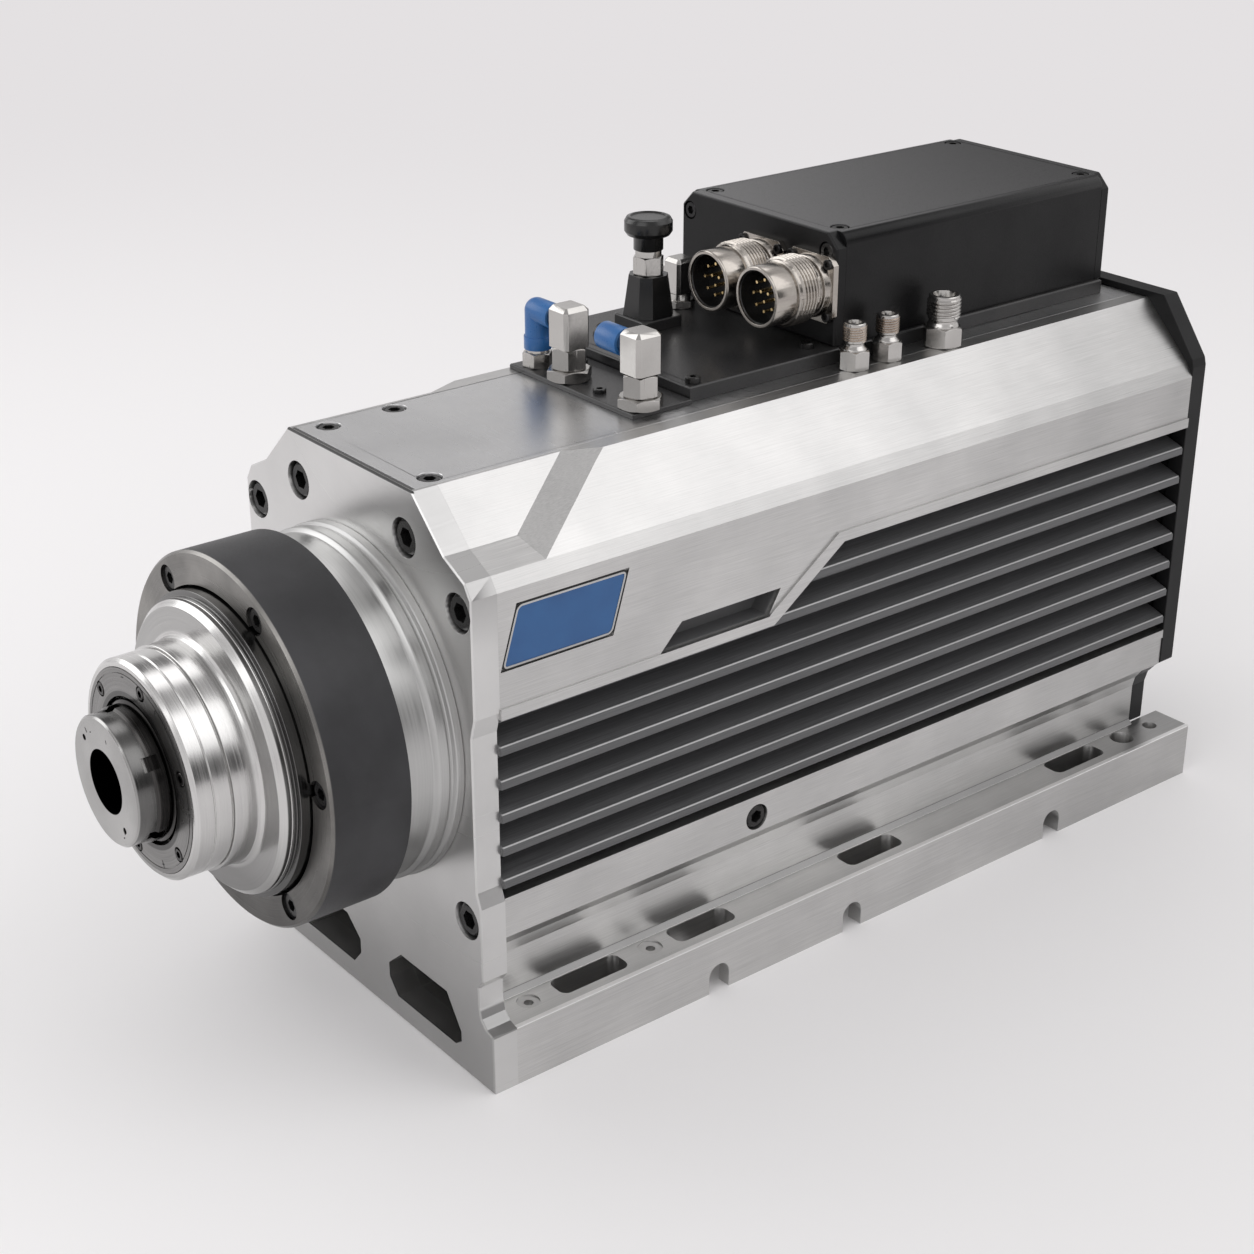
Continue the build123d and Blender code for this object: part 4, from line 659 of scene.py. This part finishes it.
rim_silver = brushed_metal("badge_rim", ((0.42, 0.42, 0.42), (0.55, 0.55, 0.55)), 0.24, ALONG_Y)
# Black of the engraved marks, also used as the painted shadow in the gap round the badge.
engraving_and_gap_shade = grained("engraved_black_and_painted_gap_shade", ((0.006, 0.006, 0.006), (0.012, 0.012, 0.012)), 0.0, 0.5)

NODE_FINISH = {
    housing_metal: ("motor_housing",),
    plate_metal: ("front_plate",),
    top_metal: ("top_plate",),
    fin_coat: ("fin_panel_right", "fin_panel_left"),
    nose_metal: ("nose_housing",),
    cover_steel: ("nose_cover",),
    flange_metal: ("front_flange",),
    shaft_metal: ("spindle_shaft", "drawbar"),
    nut_metal: ("shaft_locknut", "tool_gripper", "disc_springs", "nose_screws"),
    plug_metal: ("foot_plugs",),
    ring_coat: ("front_ring",),
    cover_coat: ("rear_cover",),
    box_coat: ("box_body", "box_front_plate", "box_rear_plate"),
    deck_coat: ("deck_plate", "fitting_plate", "knob_base"),
    screw_black: ("plate_screws", "ring_screws", "rear_cover_screws", "side_screws", "top_screws",
                  "box_screws"),
    nickel: ("elbow_one", "elbow_one_foot", "blue_elbow_base", "elbow_two", "elbow_two_foot",
             "knob_sleeve", "rear_elbow", "rear_elbow_foot", "hose_nipples", "rear_ports"),
    connector_nickel: ("connector_shells",),
    black_moulding: ("knob_body", "knob_cap", "connector_inserts", "release_ring", "top_strip"),
    blue_moulding: ("blue_elbow", "push_in_sleeve"),
    pin_gold: ("connector_pins",),
    copper_wire: ("stator_windings",),
    core_steel: ("rotor_core", "stator_core", "rear_bearing_plate", "release_cylinder",
                 "release_piston"),
    bearing_steel: ("bearing_outer_rings", "bearing_inner_rings", "bearing_balls", "knob_spring"),
    seal_rubber: ("piston_seal",),
    badge_blue: ("badge_plate",),
}


def dress_nodes():
    """Gives every piece of the construction model its finish."""
    for material, names in NODE_FINISH.items():
        for name in names:
            piece = nodes[name]
            for slot in piece.material_slots:
                slot.material = material


# Broken edges on the metal pieces, as width in millimetres

EDGE_BREAKS = {
    "motor_housing": 0.5, "front_plate": 0.45, "top_plate": 0.4, "fin_panel_right": 0.35,
    "fin_panel_left": 0.35, "rear_cover": 0.4, "box_front_plate": 0.4, "box_rear_plate": 0.4,
    "box_body": 0.3, "deck_plate": 0.25, "fitting_plate": 0.2,
    "elbow_one": 0.35, "elbow_two": 0.35, "rear_elbow": 0.35,
    "elbow_one_foot": 0.2, "elbow_two_foot": 0.2, "rear_elbow_foot": 0.2, "blue_elbow_base": 0.2,
    "hose_nipples": 0.12, "connector_shells": 0.15, "knob_body": 0.4, "knob_sleeve": 0.2,
    "knob_cap": 0.3, "knob_base": 0.3, "push_in_sleeve": 0.25, "blue_elbow": 0.3,
}


WELD_REACH = 0.000002
SHARP_EDGE = math.radians(28)


def break_edges():
    """Small bevel on the sharp edges."""
    for name, width in EDGE_BREAKS.items():
        piece = nodes[name]
        weld = piece.modifiers.new("joined_faces", "WELD")
        weld.merge_threshold = WELD_REACH
        bevel = piece.modifiers.new("broken_edges", "BEVEL")
        bevel.width = width * MM
        bevel.segments = 2
        bevel.limit_method = "ANGLE"
        bevel.angle_limit = SHARP_EDGE
        bevel.use_clamp_overlap = True
        bevel.harden_normals = True
        bevel.miter_outer = "MITER_ARC"


# Pieces finer than the construction model: turned nose and flange, threads, liners, port, rims and marks
# Their sizes and places are in millimetres, and lengths along the spindle are depths behind the front plate

BADGE_BACK = 74.1
BADGE_FACE = 75.3
CONNECTOR_PLACES = (-14.0, 15.5)
CONNECTOR_HEIGHT = 259.5
CONNECTOR_MOUTH = 180.0
CONNECTOR_THREAD_START = CONNECTOR_MOUTH + 11.4

# Thread of each hose nipple: x, depth, root radius, pitch, bottom and top
NIPPLES = ((38.2, 212.5, 4.4, 1.0, 240.9, 248.6), (37.8, 231.0, 4.4, 1.0, 240.9, 248.6),
           (38.8, 262.0, 6.4, 1.5, 241.4, 251.1))
FINE_PITCH = 1.2

REAR_PORT = (-60.3, 200.0, 251.5)
NOSE_FACE = -91.2
SHAFT_FACE = -104.0
STROKE_HEIGHT = 0.05
LATHE_EDGE = math.radians(18)
LATHE_STEPS = 240
THREAD_STEPS = 36
JOIN_REACH = 0.000001


def add_piece(name, shape, place, material, body):
    """Turns a finished shape into a named piece that rides on a body of the part."""
    bmesh.ops.transform(shape, matrix=place, verts=shape.verts)
    bmesh.ops.remove_doubles(shape, verts=shape.verts, dist=JOIN_REACH)
    bmesh.ops.recalc_face_normals(shape, faces=shape.faces)
    mesh = bpy.data.meshes.new(name)
    shape.to_mesh(mesh)
    shape.free()
    piece = bpy.data.objects.new(name, mesh)
    bpy.context.scene.collection.objects.link(piece)
    mesh.materials.append(material)
    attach(piece, body)
    return piece


def upright(x, depth_mm, z):
    """Place of a shape whose own axis points up."""
    return Matrix.Translation((x * MM, depth(depth_mm), z * MM))


def lengthwise(x, depth_mm, z):
    """Place of a shape whose own axis points back along the spindle."""
    return upright(x, depth_mm, z) @ Matrix.Rotation(math.radians(-90), 4, "X")


def wind_thread(shape, root, crest, pitch, length):
    """One thread wound round the local Z axis from the origin, run out at both ends."""
    turns = length / pitch - 1.0
    steps = int(turns * THREAD_STEPS)
    sunk = root - 0.15
    outline = [(sunk, 0.0), (crest, pitch * 0.40), (crest, pitch * 0.60), (sunk, pitch)]
    verts = [shape.verts.new((r * MM, 0.0, z * MM)) for r, z in outline]
    edges = [shape.edges.new(pair) for pair in zip(verts, verts[1:])]
    bmesh.ops.spin(shape, geom=verts + edges, cent=(0, 0, 0), axis=(0, 0, 1),
                   dvec=(0, 0, turns * pitch * MM / steps), angle=turns * 2 * math.pi, steps=steps)
    for vert in shape.verts:
        radius = math.hypot(vert.co.x, vert.co.y)
        if radius > root * MM:
            along = vert.co.z / MM
            room = min(along - pitch * 0.4, length - pitch * 0.4 - along) / (pitch * 0.35)
            share = max(0.0, min(1.0, room))
            wanted = (root - 0.1 + (crest - root + 0.1) * share) * MM
            vert.co.x *= wanted / radius
            vert.co.y *= wanted / radius


def turn_outline(shape, outline, steps=72):
    """Closed outline of radius and height turned round the local Z axis."""
    verts = [shape.verts.new((r * MM, 0.0, z * MM)) for r, z in outline]
    edges = [shape.edges.new((a, b)) for a, b in zip(verts, verts[1:] + verts[:1])]
    bmesh.ops.spin(shape, geom=verts + edges, cent=(0, 0, 0), axis=(0, 0, 1),
                   angle=2 * math.pi, steps=steps, use_merge=True)


def broken(outline, width):
    """Outline with every sharp corner cut back by a small chamfer."""
    result = []
    count = len(outline)
    for index, corner in enumerate(outline):
        here = Vector(corner)
        before = Vector(outline[index - 1]) - here
        after = Vector(outline[(index + 1) % count]) - here
        if before.angle(after) > math.radians(150):
            result.append(corner)
            continue
        for way in (before, after):
            step = min(width, way.length * 0.4)
            result.append(tuple(here + way.normalized() * step))
    return result


def lathe_piece(name, outline, width, material, body, node):
    """Turned piece on the spindle axis, shown in place of the plain node."""
    shape = bmesh.new()
    turn_outline(shape, broken(outline, width), LATHE_STEPS)
    piece = add_piece(name, shape, lengthwise(0.0, 0.0, AXIS_HEIGHT / MM), material, body)
    piece.data.shade_smooth()
    piece.data.set_sharp_from_angle(angle=LATHE_EDGE)
    weighted = piece.modifiers.new("flat_faces_stay_flat", "WEIGHTED_NORMAL")
    weighted.keep_sharp = True
    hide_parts(node)


def turned_nose():
    """Nose cylinder with two fine lines, a flat shoulder disc and its chamfered rim."""
    fillet = [(44.8 - 3.0 * math.cos(a), -69.0 + 3.0 * math.sin(a))
              for a in (math.radians(k) for k in (0, 22.5, 45, 67.5, 90))]
    front = [(38.0, -91.0), (39.6, -91.0), (41.0, -89.6), (41.0, -84.0), (40.6, -83.8), (40.6, -83.5),
             (41.0, -83.3), (41.0, -77.4), (40.4, -77.2), (40.4, -76.8), (41.8, -76.6)]
    disc = [(53.0, -66.0), (55.2, -63.8), (55.2, -62.4), (54.8, -62.2), (54.8, -61.9), (55.4, -61.7),
            (55.4, -60.4), (57.5, -60.0), (57.5, -50.0)]
    inside = [(50.0, -50.0), (50.0, 40.0), (31.0, 40.0), (31.0, -51.0), (34.05, -51.0),
              (34.05, -86.9), (38.0, -86.9)]
    lathe_piece("turned_nose", front + fillet + disc + inside, 0.14, nose_metal, "base",
                "nose_housing")


def turned_flange():
    """Stepped flange behind the black ring, with two bright raised rings."""
    outline = [(50.05, -24.0), (66.5, -24.0), (66.5, -11.6), (67.6, -10.6), (68.2, -9.8), (68.2, -6.0),
               (67.2, -5.4), (67.2, -4.2), (68.8, -3.2), (68.8, 0.0), (57.5, 0.0), (57.5, 30.0),
               (50.05, 30.0)]
    lathe_piece("turned_flange", outline, 0.3, flange_metal, "base", "front_flange")


def connector_threads():
    """Coupling thread round each connector."""
    for label, x in zip(("left", "right"), CONNECTOR_PLACES):
        shape = bmesh.new()
        wind_thread(shape, root=13.1, crest=14.0, pitch=1.55, length=10.9)
        add_piece(f"connector_thread_{label}", shape,
                  lengthwise(x, CONNECTOR_THREAD_START, CONNECTOR_HEIGHT), connector_nickel, "base")


def connector_liners():
    """Black insulating sleeve just inside the mouth of each connector."""
    for label, x in zip(("left", "right"), CONNECTOR_PLACES):
        shape = bmesh.new()
        turn_outline(shape, [(10.3, 1.1), (10.55, 0.8), (10.78, 0.8), (10.78, 9.2), (10.3, 9.2)])
        add_piece(f"connector_liner_{label}", shape, lengthwise(x, CONNECTOR_MOUTH, CONNECTOR_HEIGHT),
                  black_moulding, "base")


def nipple_threads():
    """Hose thread on each nipple; the two fine ones are worn."""
    for count, (x, along, radius, pitch, low, high) in enumerate(NIPPLES, 1):
        shape = bmesh.new()
        wind_thread(shape, radius, radius + pitch * 0.42, pitch, high - low)
        metal = worn_nickel if pitch < FINE_PITCH else nickel
        add_piece(f"nipple_thread_{count}", shape, upright(x, along, low), metal, "base")


def rear_elbow_port():
    """Push-in port on the far side of the third elbow: a nickel collar and its black release ring."""
    outward = upright(*REAR_PORT) @ Matrix.Rotation(math.radians(-90), 4, "Y")
    collar = bmesh.new()
    turn_outline(collar, [(3.0, -0.3), (4.3, -0.3), (4.3, 1.0), (4.1, 1.2), (3.0, 1.2)])
    add_piece("rear_elbow_collar", collar, outward, nickel, "rear_swivel")
    ring = bmesh.new()
    turn_outline(ring, [(0.0, -0.2), (2.95, -0.2), (2.95, 0.8), (1.6, 0.9), (1.6, 0.05), (0.0, 0.05)])
    add_piece("rear_elbow_release_ring", ring, outward, black_moulding, "rear_swivel")


def badge_outline(shape, grown, radius):
    """Slanted badge outline, grown outwards and with rounded corners, as one flat face."""
    corners = [(12.6 - grown, 171.1 - grown), (60.9 + grown, 171.1 - grown),
               (67.8 + grown, 193.9 + grown), (19.6 - grown, 193.9 + grown)]
    verts = [shape.verts.new((0.0, depth(y), z * MM)) for y, z in corners]
    shape.faces.new(verts)
    bmesh.ops.bevel(shape, geom=shape.verts[:], offset=radius * MM, segments=6, profile=0.5,
                    affect="VERTICES", material=-1)


def raise_faces(shape, rise):
    """Gives flat faces a thickness, as a vector in millimetres."""
    raised = bmesh.ops.extrude_face_region(shape, geom=shape.faces[:])
    bmesh.ops.translate(shape, verts=[v for v in raised["geom"] if isinstance(v, bmesh.types.BMVert)],
                        vec=[side * MM for side in rise])


def badge_border(name, grown, width, start, thickness, material):
    """Flat band that follows the badge outline."""
    shape = bmesh.new()
    badge_outline(shape, grown, 2.2)
    middle = shape.faces[:]
    bmesh.ops.inset_region(shape, faces=middle, thickness=width * MM, use_boundary=True,
                           use_even_offset=True)
    bmesh.ops.delete(shape, geom=middle, context="FACES_ONLY")
    raise_faces(shape, (thickness, 0.0, 0.0))
    add_piece(name, shape, Matrix.Translation((start * MM, 0.0, 0.0)), material, "base")


def badge():
    """Bare blue plate with rounded corners, its raised silver rim, and a black band painted as shadow in
    the gap round it.
    """
    shape = bmesh.new()
    badge_outline(shape, -0.1, 2.0)
    raise_faces(shape, (BADGE_FACE - BADGE_BACK, 0.0, 0.0))
    plate = add_piece("badge_rounded_plate", shape, Matrix.Translation((BADGE_BACK * MM, 0.0, 0.0)),
                      badge_blue, "base")
    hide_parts("badge_plate")
    band = BADGE_FACE - BADGE_BACK - 0.3
    badge_border("badge_rim", 0.0, 0.75, BADGE_BACK + 0.5, band, rim_silver)
    # Painted shadow: a black band laid in the gap round the badge.
    badge_border("badge_gap_painted_shadow", 0.55, 0.7, BADGE_BACK + 0.2, band, engraving_and_gap_shade)


def engrave_bars(name, bars, face, body):
    """Thin dark strokes on a turned front face: radius, angle, length, width and turn of each."""
    shape = bmesh.new()
    for radius, angle, length, width, turn in bars:
        made = bmesh.ops.create_grid(shape, x_segments=1, y_segments=1, size=0.5)
        verts = made["verts"]
        bmesh.ops.scale(shape, vec=(length * MM, width * MM, 1.0), verts=verts)
        bmesh.ops.rotate(shape, verts=verts, cent=(0, 0, 0),
                         matrix=Matrix.Rotation(math.radians(turn), 3, "Z"))
        bmesh.ops.translate(shape, verts=verts, vec=(radius * MM, 0.0, 0.0))
        bmesh.ops.rotate(shape, verts=verts, cent=(0, 0, 0),
                         matrix=Matrix.Rotation(math.radians(angle), 3, "Z"))
    raise_faces(shape, (0.0, 0.0, STROKE_HEIGHT))
    front = upright(0.0, face, AXIS_HEIGHT / MM) @ Matrix.Rotation(math.radians(90), 4, "X")
    add_piece(name, shape, front, engraving_and_gap_shade, body)


def index_marks():
    """Cross and dash marks of the balancing and clocking positions."""
    cover_bars = []
    for angle in (60, 186, 290):
        cover_bars += [(34.6, angle, 3.0, 0.45, 0), (34.6, angle, 1.6, 0.45, 90)]
    for angle in (12, 100, 245):
        cover_bars.append((34.9, angle, 1.8, 0.4, 90))
    engrave_bars("nose_index_marks", cover_bars, NOSE_FACE, "base")
    shaft_bars = [(19.6, 128, 1.9, 0.45, 0), (18.2, 118, 0.9, 0.45, 90), (18.8, 305, 1.8, 0.45, 0),
                  (20.6, 300, 0.9, 0.5, 90), (17.4, 78, 1.4, 0.3, 20)]
    engrave_bars("shaft_index_marks", shaft_bars, SHAFT_FACE, "spindle")


def add_fine_pieces():
    """Everything that the scene shows finer than the construction model."""
    turned_nose()
    turned_flange()
    connector_threads()
    connector_liners()
    nipple_threads()
    rear_elbow_port()
    badge()
    index_marks()


# Studio

FLOOR_FADE = (0.45, 1.8)


def floor_paper():
    """Pale paper that keeps the shadow near the part and fades to an even backdrop far off."""
    finish = Finish("floor_paper", 0.0, 0.75, 0.2)
    finish.shader.inputs["Base Color"].default_value = (0.90, 0.888, 0.894, 1.0)
    far = finish.node("ShaderNodeEmission")
    far.inputs["Color"].default_value = (0.775, 0.752, 0.762, 1.0)
    place = finish.node("ShaderNodeTexCoord")
    reach = finish.node("ShaderNodeVectorMath")
    reach.operation = "LENGTH"
    finish.link(place.outputs["Object"], reach.inputs[0])
    fade = finish.ramp(reach.outputs["Value"], *FLOOR_FADE, 0.0, 1.0, smooth=True)
    path = finish.node("ShaderNodeLightPath")
    seen = finish.arithmetic("MAXIMUM", path.outputs["Is Camera Ray"], path.outputs["Is Glossy Ray"])
    finish.blend_shaders(finish.both(fade, seen), finish.shader.outputs["BSDF"], far.outputs["Emission"],
                         finish.tree.nodes["Material Output"])
    return finish.material


def add_floor():
    """Wide floor under the part, which belongs to the studio and not to the part."""
    floor_mesh = bpy.data.meshes.new("studio_floor")
    shape = bmesh.new()
    bmesh.ops.create_grid(shape, x_segments=1, y_segments=1, size=15.0)
    shape.to_mesh(floor_mesh)
    shape.free()
    floor = bpy.data.objects.new("studio_floor", floor_mesh)
    bpy.context.scene.collection.objects.link(floor)
    floor.data.materials.append(floor_paper())


# Black flags and bright patches that shiny surfaces see: direction, inner and outer angle, level
STUDIO_PATCHES = [
    ((-0.56, 0.77, 0.29), 7.0, 16.0, 0.15),
    ((-0.74, 0.36, 0.57), 7.0, 13.0, 0.25),
    ((0.25, 0.72, 0.65), 10.0, 25.0, 1.00),
    ((-0.42, 0.39, 0.82), 6.0, 16.0, 2.00),
    ((-0.04, 0.39, 0.92), 2.0, 10.0, 0.50),
    ((0.52, 0.42, 0.75), 6.0, 28.0, 1.00),
    ((0.91, 0.39, 0.14), 7.0, 18.0, 0.10),
]

# Light that dull surfaces get, and the studio's own brightness low down and high up
DIFFUSE_LEVEL = 0.76
STUDIO_HEIGHTS = (0.15, 0.95)
STUDIO_LEVELS = (0.88, 0.55)


def studio_cone(studio, direction, inner, outer):
    """White within a cone round a direction of the studio, fading to black outside it."""
    place = studio.node("ShaderNodeTexCoord")
    along = studio.node("ShaderNodeVectorMath")
    along.operation = "DOT_PRODUCT"
    studio.link(place.outputs["Generated"], along.inputs[0])
    along.inputs[1].default_value = Vector(direction).normalized()
    return studio.ramp(along.outputs["Value"], math.cos(math.radians(outer)),
                       math.cos(math.radians(inner)), 0.0, 1.0, smooth=True)


def add_world():
    """Even light for dull surfaces; the camera and shiny surfaces see the studio with its patches."""
    world = bpy.data.worlds.new("studio")
    bpy.context.scene.world = world
    world.use_nodes = True
    world.node_tree.nodes.clear()
    studio = Wiring(world.node_tree)
    light = studio.node("ShaderNodeBackground")
    light.inputs["Color"].default_value = (1.0, 0.99, 0.99, 1.0)
    light.inputs["Strength"].default_value = DIFFUSE_LEVEL
    place = studio.node("ShaderNodeTexCoord")
    parts = studio.node("ShaderNodeSeparateXYZ")
    studio.link(place.outputs["Generated"], parts.inputs["Vector"])
    level = studio.ramp(parts.outputs["Z"], *STUDIO_HEIGHTS, *STUDIO_LEVELS)
    for direction, inner, outer, value in STUDIO_PATCHES:
        level = studio.mix(studio_cone(studio, direction, inner, outer), level, value)
    seen = studio.node("ShaderNodeBackground")
    seen.inputs["Color"].default_value = (1.0, 0.985, 0.99, 1.0)
    studio.link(level, seen.inputs["Strength"])
    path = studio.node("ShaderNodeLightPath")
    direct = studio.arithmetic("MAXIMUM", path.outputs["Is Camera Ray"], path.outputs["Is Glossy Ray"])
    clear = studio.arithmetic("MAXIMUM", direct, path.outputs["Is Transmission Ray"])
    studio.blend_shaders(clear, light.outputs["Background"], seen.outputs["Background"],
                         studio.node("ShaderNodeOutputWorld"))


def add_soft_light(name, place, aim, size, power):
    """Rectangular lamp that points at a spot."""
    data = bpy.data.lights.new(name, "AREA")
    data.shape = "RECTANGLE"
    data.size = size[0]
    data.size_y = size[1]
    data.energy = power
    lamp = bpy.data.objects.new(name, data)
    lamp.location = place
    lamp.rotation_euler = (Vector(aim) - Vector(place)).to_track_quat("-Z", "Y").to_euler()
    bpy.context.scene.collection.objects.link(lamp)


def add_lights():
    """Three wide lamps: overhead, from the left and from the front."""
    add_soft_light("overhead_box", (1.04, 0.83, 1.60), (0.0, 0.0, 0.1), (1.4, 1.4), 5.5)
    add_soft_light("left_box", (-1.5, -1.0, 1.1), (0.0, -0.1, 0.12), (1.2, 1.2), 8.0)
    add_soft_light("front_box", (0.4, -1.6, 1.5), (0.0, -0.1, 0.12), (1.4, 1.0), 6.0)


add_camera()
add_world()
add_lights()
add_floor()
dress_nodes()
break_edges()
add_fine_pieces()

bpy.context.scene.view_settings.view_transform = "Standard"
